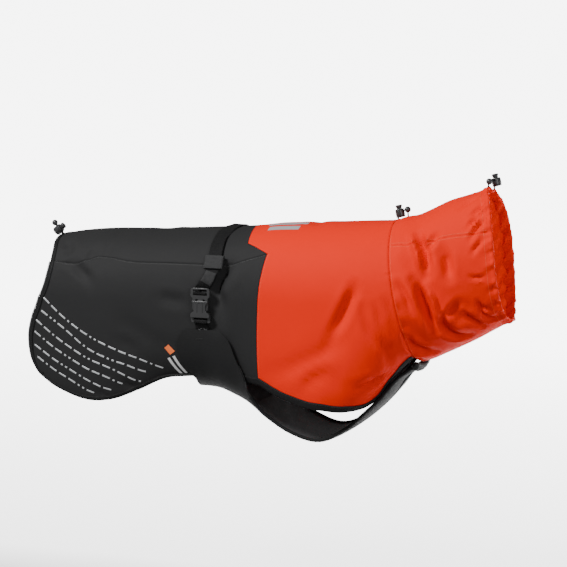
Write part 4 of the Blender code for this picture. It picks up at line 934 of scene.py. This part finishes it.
def piping(side, word):
    way, inward = resample(*rearWay, bindingStep)
    base, direction = skin(plainBody, way[:, 0], side * way[:, 1] / turnReach, pipe["lift"])
    inside = skin(plainBody, inward[:, 0], side * inward[:, 1] / turnReach, pipe["lift"])[0]
    out = unit(base - inside)
    rings = roundRings(base + out * pipe["out"], pipe["radius"] * out, pipe["radius"] * direction, turnsOf(8))
    tubePiece("rearPiping" + word.title(), rings, [finishes["reflectiveTape"]],
              ["rear_piping_" + word], sharp=80)


for side, word in sides:
    piping(side, word)

# straps and buckles
webbing = {"width": 0.020, "thick": 0.0014, "lift": 0.0012, "slack": 0.0028, "slackFrom": 0.045,
           "slackOver": 0.050}
strapWay = ((-0.0755, -0.012), (-0.0770, -0.022), (-0.0750, -0.040), (-0.0740, -0.056), (-0.0780, -0.070),
            (-0.0830, -0.078))
strapStart = -0.0725
strapEnd = {"low": -0.0785, "high": -0.0630, "width": 0.0166, "gap": 0.0003, "stations": 6}
keeperPlace, bucklePlace, tabX = (-0.0740, -0.052), (-0.0900, -0.1105), -0.0890
barRoute = ((0.0236, 0.0020, 0.0), (0.0213, 0.0024, 0.8), (0.0206, 0.0038, 1.57), (0.0206, 0.0080, 1.57),
            (0.0201, 0.0085, 0.8), (0.0187, 0.0086, 0.0), (0.0173, 0.0085, -0.8), (0.0168, 0.0080, -1.57),
            (0.0168, 0.0024, -1.57))
tabUnder = (-0.160, -0.152, -0.146)
tabRoute = ((-0.0325, 0.0008, 0.0), (-0.0295, 0.0019, -0.5), (-0.0272, 0.0040, -0.9), (-0.0264, 0.0060, -0.9),
            (-0.0250, 0.0068, -0.2), (-0.0225, 0.0068, 0.2), (-0.0217, 0.0064, 0.9), (-0.0212, 0.0052, 1.57),
            (-0.0212, 0.0032, 1.57))


def onSkin(x, s, side, lift):
    point, direction = skin(plainBody, np.array([x]), np.array([side * s / turnReach]), lift, relief=False)
    return point[0], direction[0]


def standAt(place, side, lift):
    s = onForm([place])[0][1]
    origin, out = onSkin(place[0], s, side, lift)
    up = onSkin(place[0], s - 0.005, side, lift)[0] - origin
    up = unit(up - out * (up @ out))
    made = Matrix([Vector(np.cross(up, out)), Vector(up), Vector(out)]).transposed().to_4x4()
    made.translation = Vector(origin)
    return made


def inFrame(base, route):
    turn = base.to_3x3()
    return [(np.array(base @ Vector((0, up, out))),
             np.array(turn @ Vector((0, math.sin(lean), math.cos(lean)))))
            for up, out, lean in route]


def followStations(stations):
    # stations are (point, direction out of the cloth); between them the ribbon runs smoothly
    points = curveThrough(np.array([p for p, _ in stations]), 3)
    leans = unit(curveThrough(np.array([np.concatenate([p, d]) for p, d in stations]), 3)[:, 3:])
    run = np.gradient(points, axis=0)
    across = unit(np.cross(run, leans))
    return points, across, unit(np.cross(across, run))


def ribbon(name, stations, width, finish, replaced):
    points, across, leans = followStations(stations)
    half, thick = width / 2, webbing["thick"]
    profile = ((-half + 0.0004, 0), (-half, thick * 0.5), (-half + 0.0004, thick),
               (-half + 0.002, thick * 1.02), (0, thick), (half - 0.002, thick * 1.02),
               (half - 0.0004, thick), (half, thick * 0.5), (half - 0.0004, 0), (0, 0))
    rings = np.stack([points + across * a + leans * h for a, h in profile], 1)
    tubePiece(name, rings, [finishes[finish]], replaced, sharp=60)


def strapLift(s):
    away = fade((abs(s) - webbing["slackFrom"]) / webbing["slackOver"])
    return webbing["lift"] + webbing["slack"] * float(away)


def strapStations(side):
    half = curveThrough(np.concatenate([[(strapStart, 0.0)], onForm(strapWay)]), 3)
    bar = inFrame(standAt(bucklePlace, side, 0.0), barRoute)
    return [onSkin(x, s, side, strapLift(s)) for x, s in half] + bar


def girthStrap():
    stations = strapStations(-1)[::-1][:-1] + strapStations(1)
    ribbon("girthStrap", stations, webbing["width"], "webbing", ["girth_strap"])


def strapEndLine(side):
    # stations of the folded end, on the strap's own surface between two heights
    points, _, leans = followStations(strapStations(side))
    middle = int(np.argmax(points[:, 2] < -0.060))
    near = slice(middle - 6, middle + 24)
    lift = webbing["thick"] + strapEnd["gap"]
    made = []
    for z in np.linspace(strapEnd["high"], strapEnd["low"], strapEnd["stations"]):
        spot, lean = (np.array([np.interp(-z, -points[near, 2], column) for column in of[near].T])
                      for of in (points, leans))
        made.append((spot + unit(lean) * lift, unit(lean)))
    return made


girthStrap()
# the elastic sleeve: low and high out of the cloth, how flat its oval is, and its rows of points up the strap
sleeve = {"low": -0.0022, "high": 0.0044, "thick": 0.0010, "half": 0.0145, "flatAcross": 0.28,
          "flatOut": 0.55, "outer": (0.0100, 0.0092, 0.005, 0.0, -0.005, -0.0092, -0.0100),
          "inner": (-0.0100, -0.003, 0.003, 0.0100), "swell": 0.0003, "swellAcross": 0.006}


def keeper(side, word):
    base = standAt(keeperPlace, side, strapLift(onForm([keeperPlace])[0][1]))
    turns = turnsOf(40)
    cos, sin = np.cos(turns), np.sin(turns)
    middle, reach = (sleeve["low"] + sleeve["high"]) / 2, (sleeve["high"] - sleeve["low"]) / 2
    lines = []
    for inset in (0.0, sleeve["thick"]):
        across = np.sign(cos) * np.abs(cos) ** sleeve["flatAcross"] * (sleeve["half"] - inset)
        out = middle + np.sign(sin) * np.abs(sin) ** sleeve["flatOut"] * (reach - inset)
        lines.append(list(zip(across, out)))
    rows = []
    for up in sleeve["outer"]:
        full = abs(up) < sleeve["outer"][0]
        rows.append([base @ Vector((a * (1 + full * sleeve["swellAcross"]), up, o + full * sleeve["swell"]))
                     for a, o in lines[0]])
    rows += [[base @ Vector((a, up, o)) for a, o in lines[1]] for up in sleeve["inner"]]
    tubePiece("strapKeeper" + word.title(), np.array(rows), [finishes["keeper"]],
              ["strap_keeper_" + word], closed=True, sharp=50)
    ribbon("strapEnd" + word.title(), strapEndLine(side), strapEnd["width"], "keeper",
           ["strap_end_" + word])


plugOutline = ((0.0, 0.0252), (0.0110, 0.0250), (0.0130, 0.0242), (0.0144, 0.0226), (0.0148, 0.0205),
               (0.0148, 0.0135), (0.0143, 0.0118), (0.0122, 0.0104), (0.0118, 0.0085), (0.0122, 0.0040),
               (0.0120, -0.0050), (0.0112, -0.0075), (0.0098, -0.0086), (0.0083, -0.0080), (0.0079, -0.0050),
               (0.0080, 0.0050), (0.0072, 0.0078), (0.0058, 0.0086), (0.0036, 0.0082), (0.0032, 0.0060),
               (0.0032, -0.0035), (0.0026, -0.0041), (0.0, -0.0041))
socketOutline = ((0.0, 0.0068), (0.0105, 0.0066), (0.0120, 0.0060), (0.0125, 0.0048), (0.0115, 0.0032),
                 (0.0098, 0.0018), (0.0091, -0.0006), (0.0091, -0.0070), (0.0100, -0.0095), (0.0130, -0.0112),
                 (0.0144, -0.0130), (0.0148, -0.0150), (0.0148, -0.0228), (0.0143, -0.0246),
                 (0.0128, -0.0255), (0.0, -0.0255))


def plate(outline, low, high, bevelled):
    bm = bmesh.new()
    right = [bm.verts.new((u, v, low)) for u, v in outline]
    left = [bm.verts.new((-u, v, low)) for u, v in reversed(outline) if u > 0]
    face = bm.faces.new(right + left)
    raised = bmesh.ops.extrude_face_region(bm, geom=[face], use_keep_orig=True)["geom"]
    for vert in raised:
        if isinstance(vert, bmesh.types.BMVert):
            vert.co.z = high
    bmesh.ops.recalc_face_normals(bm, faces=bm.faces)
    rim = [edge for edge in bm.edges if abs(edge.verts[0].co.z - edge.verts[1].co.z) < 1e-6]
    bmesh.ops.bevel(bm, geom=rim, offset=bevelled, affect="EDGES", segments=3, profile=0.5, material=-1)
    return bm


def boxMesh(size, centre, bevelled=0.0):
    bm = bmesh.new()
    bmesh.ops.create_cube(bm, size=1.0, matrix=Matrix.Translation(centre) @ Matrix.Diagonal((*size, 1.0)))
    if bevelled:
        bmesh.ops.bevel(bm, geom=bm.edges[:], offset=bevelled, affect="EDGES", segments=2, profile=0.5,
                        material=-1)
    return bm


def cutAway(bm, cutters):
    # the mesh less each cutter, worked out by a Boolean modifier on a throwaway object
    mesh = bpy.data.meshes.new("work")
    bm.to_mesh(mesh)
    bm.free()
    work = placeObject("work", mesh)
    made = [work]
    for cutter in cutters:
        cutMesh = bpy.data.meshes.new("cut")
        bmesh.ops.recalc_face_normals(cutter, faces=cutter.faces)
        cutter.to_mesh(cutMesh)
        cutter.free()
        tool = placeObject("cut", cutMesh)
        made.append(tool)
        cut = work.modifiers.new("cut", "BOOLEAN")
        cut.operation = "DIFFERENCE"
        cut.object = tool
    bpy.context.view_layer.update()
    result = work.evaluated_get(bpy.context.evaluated_depsgraph_get()).to_mesh()
    out = bmesh.new()
    out.from_mesh(result)
    work.evaluated_get(bpy.context.evaluated_depsgraph_get()).to_mesh_clear()
    for thing in made:
        bpy.data.objects.remove(thing)
    return out


def joinInto(bm, other):
    mesh = bpy.data.meshes.new("join")
    other.to_mesh(mesh)
    other.free()
    bm.from_mesh(mesh)
    bpy.data.meshes.remove(mesh)


def plasticPiece(name, bm, node):
    finishPiece(name, bm, [finishes["blackPlastic"]], [node], 35)


# boxes as (size, centre, bevel), in the buckle's own frame: across, up the flank, out of it
buckleLook = {
    "plug": (0.0040, 0.0084, 0.0007),
    "plugCuts": (((0.0215, 0.0032, 0.02), (0, 0.0161, 0.006), 0.0004),
                 ((0.0215, 0.0032, 0.02), (0, 0.0213, 0.006), 0.0004)),
    "socket": (0.0023, 0.0105, 0.0011),
    "socketCuts": (((0.0258, 0.0190, 0.0052), (0, -0.0025, 0.0063), 0.0),
                   ((0.0400, 0.0200, 0.0100), (0, -0.0275, 0.0115), 0.0),
                   ((0.0215, 0.0034, 0.0300), (0, -0.0205, 0.0060), 0.0004)),
    "socketRibs": (((0.0010, 0.0130, 0.0008), (-0.0042, -0.0035, 0.0107), 0.0003),
                   ((0.0010, 0.0130, 0.0008), (0.0042, -0.0035, 0.0107), 0.0003),
                   ((0.0150, 0.0010, 0.0008), (0, 0.0040, 0.0107), 0.0003)),
}


def buckle(side, word):
    base = standAt(bucklePlace, side, 0.0)
    plug = cutAway(plate(plugOutline, *buckleLook["plug"]), [boxMesh(*cut) for cut in buckleLook["plugCuts"]])
    plug.transform(base)
    plasticPiece("bucklePlug" + word.title(), plug, "buckle_plug_" + word)
    socket = cutAway(plate(socketOutline, *buckleLook["socket"]),
                     [boxMesh(*cut) for cut in buckleLook["socketCuts"]])
    for rib in buckleLook["socketRibs"]:
        joinInto(socket, boxMesh(*rib))
    socket.transform(base)
    plasticPiece("buckleSocket" + word.title(), socket, "buckle_socket_" + word)
    stations = [onSkin(tabX, onForm([(tabX, z)])[0][1], side, 0.0007) for z in tabUnder]
    ribbon("buckleTab" + word.title(), stations + inFrame(base, tabRoute), webbing["width"], "webbing",
           ["buckle_tab_" + word])


for side, word in sides:
    keeper(side, word)
    buckle(side, word)
print("straps and buckles made")

# cord locks, their beads and cords, as in the solids
locks = {
    "tail": {"centre": (-0.3634, 0.0, -0.0239), "axis": (0.77, 0, 0.64), "through": (-0.64, 0, 0.77),
             "slot": 0.0020, "foot": (), "bead": (-0.3695, 0.0, -0.0134),
             "holes": (((0.64, 0, -0.77), 0.0070),),
             "cords": {"right": ((-0.3570, -0.0018, -0.0285), (-0.3691, -0.0018, -0.0139)),
                       "left": ((-0.3570, 0.0018, -0.0285), (-0.3691, 0.0018, -0.0139))}},
    "neck": {"centre": (0.1775, 0.0, 0.0219), "axis": (-0.22, 0, 0.975), "through": (0.975, 0, 0.22),
             "slot": 0.0030, "foot": (-0.20, 0, -0.98), "bead": (0.18864, 0.0, 0.02749),
             "holes": (((-0.975, 0, -0.22), 0.0033), ((0.10, 0, -0.995), 0.0033)),
             "cords": {"main": ((0.18718, 0.0, 0.02716), (0.17801, 0.0, 0.02509)),
                       "leg": ((0.1895, 0.0, 0.0184), (0.1888, 0.0, 0.0256)),
                       "foot": ((0.17445, 0.0, 0.0131), (0.17624, 0.0, 0.02189))}},
    "rim": {"centre": (0.3130, 0.0207, 0.0692), "axis": (-0.24, 0, 0.97), "through": (-0.430, -0.896, -0.106),
            "slot": 0.0034, "foot": (-0.187, 0.076, -0.979), "bead": (0.3057, 0.0072, 0.0709),
            "holes": (((0.430, 0.896, 0.106), 0.0033), ((-0.12, -0.05, -0.99), 0.0033)),
            "cords": {"main": ((0.30635, 0.00854, 0.07106), (0.31166, 0.01962, 0.07237)),
                      "leg": ((0.3047, 0.0068, 0.0645), (0.3053, 0.0070, 0.0688)),
                      "foot": ((0.30968, 0.02172, 0.0594), (0.31162, 0.02093, 0.06956))}},
}
barrelProfile = ((0.0, -0.0060), (0.0052, -0.0060), (0.0062, -0.0056), (0.0067, -0.0049), (0.0068, -0.0040),
                 (0.0063, -0.0037), (0.0063, -0.0032), (0.0068, -0.0029), (0.0068, 0.0042), (0.0063, 0.0045),
                 (0.0063, 0.0050), (0.0066, 0.0053), (0.0063, 0.0058), (0.0054, 0.0060), (0.0, 0.0060))
plungerProfile = ((0.0, 0.0063), (0.0036, 0.0063), (0.0039, 0.0067), (0.0039, 0.0082), (0.0045, 0.0089),
                  (0.0048, 0.0098), (0.0048, 0.0110), (0.0044, 0.0118), (0.0028, 0.0121), (0.0, 0.0120))
beadProfile = ((0.0, -0.0046), (0.0016, -0.00432), (0.0029, -0.0036), (0.0039, -0.0024), (0.0045, -0.0010),
               (0.0046, 0.0), (0.0045, 0.0010), (0.0039, 0.0024), (0.0029, 0.0036), (0.0016, 0.00432),
               (0.0, 0.0046))


def lathe(profile):
    bm = bmesh.new()
    verts = [bm.verts.new((radius, 0, height)) for radius, height in profile]
    edges = [bm.edges.new(pair) for pair in zip(verts, verts[1:])]
    bmesh.ops.spin(bm, geom=verts + edges, cent=(0, 0, 0), axis=(0, 0, 1), angle=2 * math.pi, steps=28,
                   use_merge=True)
    bmesh.ops.remove_doubles(bm, verts=bm.verts, dist=1e-6)
    bmesh.ops.recalc_face_normals(bm, faces=bm.faces)
    return bm


def turnedFrame(centre, axis, across):
    axis = Vector(axis).normalized()
    across = Vector(across)
    across = (across - axis * across.dot(axis)).normalized()
    made = Matrix((across, axis.cross(across), axis)).transposed().to_4x4()
    made.translation = centre
    return made


# the barrel's slot and side ribs, the square hole for a cord, and the cord itself
lockLook = {"slot": (0.03, 0.0070, 0.0033), "slotBevel": 0.0006, "footHole": 0.0200, "hole": 0.0033,
            "holeBevel": 0.0005, "beadHole": 0.0088, "rib": (0.0040, 0.0012, 0.0062), "ribOut": 0.0067,
            "ribUp": 0.0006, "ribBevel": 0.0004, "cordRadius": 0.0012, "hidden": 0.0040}


def holeMesh(width, deep, where, axis):
    cutter = boxMesh((width, lockLook["hole"], deep), (0, 0, deep / 2), lockLook["holeBevel"])
    cutter.transform(turnedFrame(where, axis, (0, 1, 0)))
    return cutter


def cordStrand(name, start, end, node):
    curve = bpy.data.curves.new(name, "CURVE")
    curve.dimensions = "3D"
    curve.bevel_depth = lockLook["cordRadius"]
    curve.bevel_resolution = 4
    curve.use_fill_caps = True
    spline = curve.splines.new("POLY")
    points = np.linspace(start, end, 9)
    spline.points.add(len(points) - 1)
    for knot, point in zip(spline.points, points):
        knot.co = (*point, 1.0)
    curve.materials.append(finishes["cord"])
    made = placeObject(name, curve)
    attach(made, "root")
    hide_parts(node)


def cordLock(name):
    lock, title = locks[name], name.title()
    base = turnedFrame(lock["centre"], lock["axis"], lock["through"])
    cutters = [boxMesh(lockLook["slot"], (0, 0, lock["slot"]), lockLook["slotBevel"])]
    if lock["foot"]:
        foot = holeMesh(lockLook["hole"], lockLook["footHole"], base @ Vector((0, 0, lock["slot"])),
                        lock["foot"])
        foot.transform(base.inverted())
        cutters.append(foot)
    barrel = cutAway(lathe(barrelProfile), cutters)
    for turn in (1, -1):
        joinInto(barrel, boxMesh(lockLook["rib"], (0, turn * lockLook["ribOut"], lockLook["ribUp"]),
                                 lockLook["ribBevel"]))
    barrel.transform(base)
    plasticPiece("barrel" + title, barrel, name + "_lock_barrel")
    plunger = lathe(plungerProfile)
    plunger.transform(base)
    plasticPiece("plunger" + title, plunger, name + "_lock_plunger")
    bead = lathe(beadProfile)
    bead.transform(Matrix.Translation(lock["bead"]))
    holes = [holeMesh(width, lockLook["beadHole"], lock["bead"], axis) for axis, width in lock["holes"]]
    bead = cutAway(bead, holes)
    plasticPiece("bead" + title, bead, name + "_cord_bead")
    for word, route in lock["cords"].items():
        # a strand that leaves the cloth starts in the casing, under its surface
        start, end = np.array(route)
        if word != "main":
            start = start + lockLook["hidden"] * unit(start - end)
        cordStrand("cord" + title + word.title(), start, end, name + "_cord_" + word)


for lockName in locks:
    cordLock(lockName)
print("cord locks made")


# prints and stitches: separate narrow strips made from points of the cloth they lie on
def overlay(name, form, ways, size, lift, finish, relief=True):
    ways = np.asarray(ways, float)
    count, stations = ways.shape[:2]
    point, direction = skin(form, ways[..., 0], ways[..., 1], lift, relief)
    across = unit(np.cross(np.gradient(point, axis=1), direction))
    width, height = size
    profile = ((-0.5, -0.2), (-0.36, 1.0), (0.36, 1.0), (0.5, -0.2), (-0.5, -0.2))
    rings = np.stack([point + across * a * width + direction * h * height for a, h in profile], 2)
    rows, columns = count * stations - 1, len(profile) - 1
    rings = rings.reshape(rows + 1, columns + 1, 3)
    bm, spotOf = gridMesh(rows, columns)
    between = [face for face in bm.faces
               if math.floor((face.calc_center_median().y + 0.5) * rows) % stations == stations - 1]
    bmesh.ops.delete(bm, geom=between, context="FACES")
    for vert in bm.verts:
        vert.co = rings[spotOf(vert)]
    bmesh.ops.remove_doubles(bm, verts=bm.verts, dist=1e-7)
    bmesh.ops.holes_fill(bm, edges=[edge for edge in bm.edges if edge.is_boundary], sides=0)
    finishPiece(name, bm, [finishes[finish]], (), 30)


def lengthsOf(form, way):
    line = skin(form, way[:, 0], way[:, 1], relief=False)[0]
    return np.concatenate([[0], np.cumsum(np.linalg.norm(np.diff(line, axis=0), axis=1))])


def stitches(form, way, pitch=0.0032, length=0.0024):
    way = np.asarray(way, float)
    lengths = lengthsOf(form, way)
    begin = np.arange(0.001, lengths[-1] - length, pitch)
    at = np.stack([begin, begin + length], 1)
    return np.stack([np.interp(at, lengths, column) for column in way.T], -1)


def dashes(form, way, marks, start):
    # marks: (length, gap) over and over along the way
    way = curveThrough(way, 8)
    lengths = lengthsOf(form, way)
    made, at, k = [], start, 0
    while True:
        length, gap = marks[k % len(marks)]
        if at + length > lengths[-1]:
            return made
        spots = np.linspace(at, at + length, 5)
        made.append(np.stack([np.interp(spots, lengths, column) for column in way.T], -1))
        at, k = at + length + gap, k + 1


# six rows of marks on each thigh cover (x, angle)
coverRows = {
    "ways": (((-0.3600, 1.530), (-0.3182, 1.684), (-0.2762, 1.806), (-0.2342, 1.920), (-0.1922, 2.059),
              (-0.1530, 2.280)),
             ((-0.3650, 1.625), (-0.3182, 1.754), (-0.2787, 1.885), (-0.2441, 1.981), (-0.2120, 2.077),
              (-0.1799, 2.217)),
             ((-0.3720, 1.690), (-0.3306, 1.815), (-0.2911, 1.920), (-0.2392, 2.059), (-0.1930, 2.265)),
             ((-0.3765, 1.760), (-0.3331, 1.885), (-0.2911, 1.990), (-0.2466, 2.112), (-0.2090, 2.276)),
             ((-0.3765, 1.847), (-0.3355, 1.955), (-0.2960, 2.051), (-0.2688, 2.129), (-0.2420, 2.215)),
             ((-0.3740, 1.917), (-0.3405, 2.007), (-0.3059, 2.094), (-0.2812, 2.164), (-0.2580, 2.230))),
    "starts": (0.010, 0.012, 0.009, 0.011, 0.010, 0.012), "dash": (0.0125, 0.0048), "dot": (0.0034, 0.0046),
    "rhythms": ("---.--..--", "-..---.-", "--.---..--.", "-.--..---", "---..-.--", "-.---..-"),
    "size": (0.0026, 0.00022)}


# how far the marks stand off the cloth
markLift = 0.00012


def coverMarks(side, word):
    made = []
    for way, start, rhythm in zip(coverRows["ways"], coverRows["starts"], coverRows["rhythms"]):
        marks = [coverRows["dash"] if mark == "-" else coverRows["dot"] for mark in rhythm]
        made += dashes(plainBody, np.array(way) * (1, side), marks, start)
    overlay("coverMarks" + word.title(), plainBody, made, coverRows["size"], markLift, "reflectiveTape")


def bars(*ways):
    return [curveThrough(way, 12) for way in ways]


for side, word in sides:
    coverMarks(side, word)
# plain light bars on the back and at the edge of the near thigh cover
overlay("backBars", plainBody, bars(((-0.016, -0.130), (0.043, -0.118)), ((-0.011, -0.330), (0.036, -0.318))),
        (0.0135, 0.0002), markLift, "reflectiveTape")
overlay("labelMark", plainBody, bars(((-0.1490, -2.030), (-0.1405, -2.115))), (0.0100, 0.0002), markLift,
        "orangePrint")
overlay("labelBars", plainBody,
        bars(((-0.1475, -2.160), (-0.1310, -2.440)), ((-0.1395, -2.150), (-0.1255, -2.400))),
        (0.0042, 0.0002), markLift, "whitePrint")
print("marks made")


# a thread's width and height, and how far the rows of stitches lie from their seams
thread = {"size": (0.00055, 0.00022), "crossSize": (0.0007, 0.0003), "tackSize": (0.0009, 0.0003),
          "beside": 0.0022, "turnBeside": 0.030, "rings": (0.020, 0.918), "onBinding": 0.0015,
          "onStrip": 0.0076}


def bodySewing():
    orange, black = [], []
    for side, _ in sides:
        black.append(stitches(plainBody, (yokeLine + (0, thread["beside"])) * (1, side / turnReach)))
        orange.append(stitches(plainBody, (frontSeamLine + (thread["beside"], 0)) * (1, side / turnReach)))
    overlay("bodyStitchesBlack", plainBody, np.concatenate(black), thread["size"], 0.0, "blackThread")
    overlay("bodyStitchesOrange", plainBody, np.concatenate(orange), thread["size"], 0.0, "orangeThread")


def collarSewing():
    share = np.linspace(0.01, 0.985, 60)
    made = [stitches(plainCollar, np.stack([share, side * (collarSeamAngle(share) + off)], -1))
            for side, _ in sides for off in (-thread["turnBeside"], thread["turnBeside"])]
    ring = np.linspace(-3.13, 3.13, 241)
    made += [stitches(plainCollar, np.stack([0 * ring + at, ring], -1)) for at in thread["rings"]]
    overlay("collarStitches", plainCollar, np.concatenate(made), thread["size"], 0.0, "orangeThread")


def bindingSewing(name, kinds, lift):
    rows = []
    flat = np.array((1, 1 / turnReach))
    for side, _ in sides:
        for kind in kinds:
            way, inward = smoothInward(*resample(*bindings[kind]["ways"], bindingStep))
            reach = np.linalg.norm(plainBody(*(inward * flat).T) - plainBody(*(way * flat).T), axis=1)
            inset = way + (inward - way) * (bindings[kind]["sewn"] / reach)[:, None]
            rows.append(stitches(plainBody, inset * flat * (1, side)))
    overlay(name, plainBody, np.concatenate(rows), thread["size"], lift, "blackThread")


def crossBox(middle, half, side):
    x, angle = middle
    wide, tall = half[0], half[1] / turnReach
    corners = np.array([(-wide, -tall), (wide, -tall), (wide, tall), (-wide, tall), (-wide, -tall),
                        (wide, tall)])
    lines = [corners[:2], corners[1:3], corners[2:4], corners[3:5], corners[4:6], corners[[1, 3]]]
    ways = [(np.linspace(a, b, 7) + (x, angle)) * (1, side) for a, b in lines]
    return np.concatenate([stitches(plainBody, way, 0.0017, 0.0014) for way in ways])


bodySewing()
collarSewing()
bindingSewing("bindingStitches", ("rear", "front"), thread["onBinding"])
bindingSewing("stripStitches", ("strip",), thread["onStrip"])
crosses = {"strapBox": ((-0.0758, -0.0310), (0.0050, 0.0045), 0.00265),
           "tabBox": ((-0.0890, -0.1440), (0.0062, 0.0028), 0.00215)}
wingTack = ((-0.1008, 1.956), (-0.0885, 1.947))
for side, word in sides:
    for name, (place, half, lift) in crosses.items():
        middle = (place[0], float(onForm([place])[0][1]) / turnReach)
        overlay(name + word.title(), plainBody, crossBox(middle, half, side), thread["crossSize"], lift,
                "greyThread", relief=False)
    tack = stitches(plainBody, np.array(wingTack) * (1, side), 0.0016, 0.0013)
    overlay("wingTack" + word.title(), plainBody, tack, thread["tackSize"], 0.0038, "blackThread")
print("stitches made")


# a pale floor and two lamps; the floor glows more the farther it lies behind the coat
stage = {"height": -0.62, "half": 80, "forward": 70, "color": (0.22, 0.22, 0.22), "roughness": 0.9,
         "sheen": 0.1, "ramps": ((0.0, 0.30, 0.1, 3.4), (0.3, 2.5, 0.0, 3.4)), "world": 0.20}
lamps = {"keyLight": {"place": (-1.5, -2.2, 2.5), "size": (0.7, 0.7), "power": 205},
         "fillLight": {"place": (2.2, -2.4, 0.8), "size": (0.9, 0.9), "power": 34}}


def makeStage():
    bm = bmesh.new()
    place = Matrix.Translation((0, stage["forward"], stage["height"]))
    bmesh.ops.create_grid(bm, x_segments=2, y_segments=2, size=stage["half"], matrix=place)
    mesh = bpy.data.meshes.new("floor")
    bm.to_mesh(mesh)
    bm.free()
    made, tree, principled = startMaterial("paleFloor", stage["color"], stage["roughness"], stage["sheen"])
    place = makeNode(tree, "TexCoord").outputs["Object"]
    cloud = makeNode(tree, "TexNoise", (("Vector", place), ("Scale", 0.6), ("Detail", 2.0)))
    uneven = makeNode(tree, "MapRange", (("Value", cloud.outputs["Fac"]), ("To Min", 0.86), ("To Max", 0.94)))
    tree.links.new(uneven.outputs[0], principled.inputs["Roughness"])
    parts = makeNode(tree, "SeparateXYZ", (("Vector", place),))
    ramps = []
    for start, end, low, high in stage["ramps"]:
        span = (("From Min", start), ("From Max", end), ("To Min", low), ("To Max", high))
        ramps.append(makeNode(tree, "MapRange", (("Value", parts.outputs["Y"]), *span)))
    glow = makeNode(tree, "Math", [(k, ramp.outputs[0]) for k, ramp in enumerate(ramps)], operation="ADD")
    tree.links.new(glow.outputs[0], principled.inputs["Emission Strength"])
    principled.inputs["Emission Color"].default_value = (1, 1, 1, 1)
    mesh.materials.append(made)
    placeObject("floor", mesh)


def addLamp(name, place, size, power):
    light = bpy.data.lights.new(name, "AREA")
    light.shape = "RECTANGLE"
    light.size, light.size_y = size
    light.energy = power
    made = placeObject(name, light)
    made.location = place
    made.rotation_euler = (Vector(place) - Vector((0.0, 0.0, -0.1))).to_track_quat("Z", "Y").to_euler()


makeStage()
world = bpy.data.worlds.new("world")
bpy.context.scene.world = world
world.use_nodes = True
world.node_tree.nodes["Background"].inputs[0].default_value = (1.0, 1.0, 1.0, 1)
world.node_tree.nodes["Background"].inputs[1].default_value = stage["world"]
for name, lamp in lamps.items():
    addLamp(name, **lamp)
print("stage made")
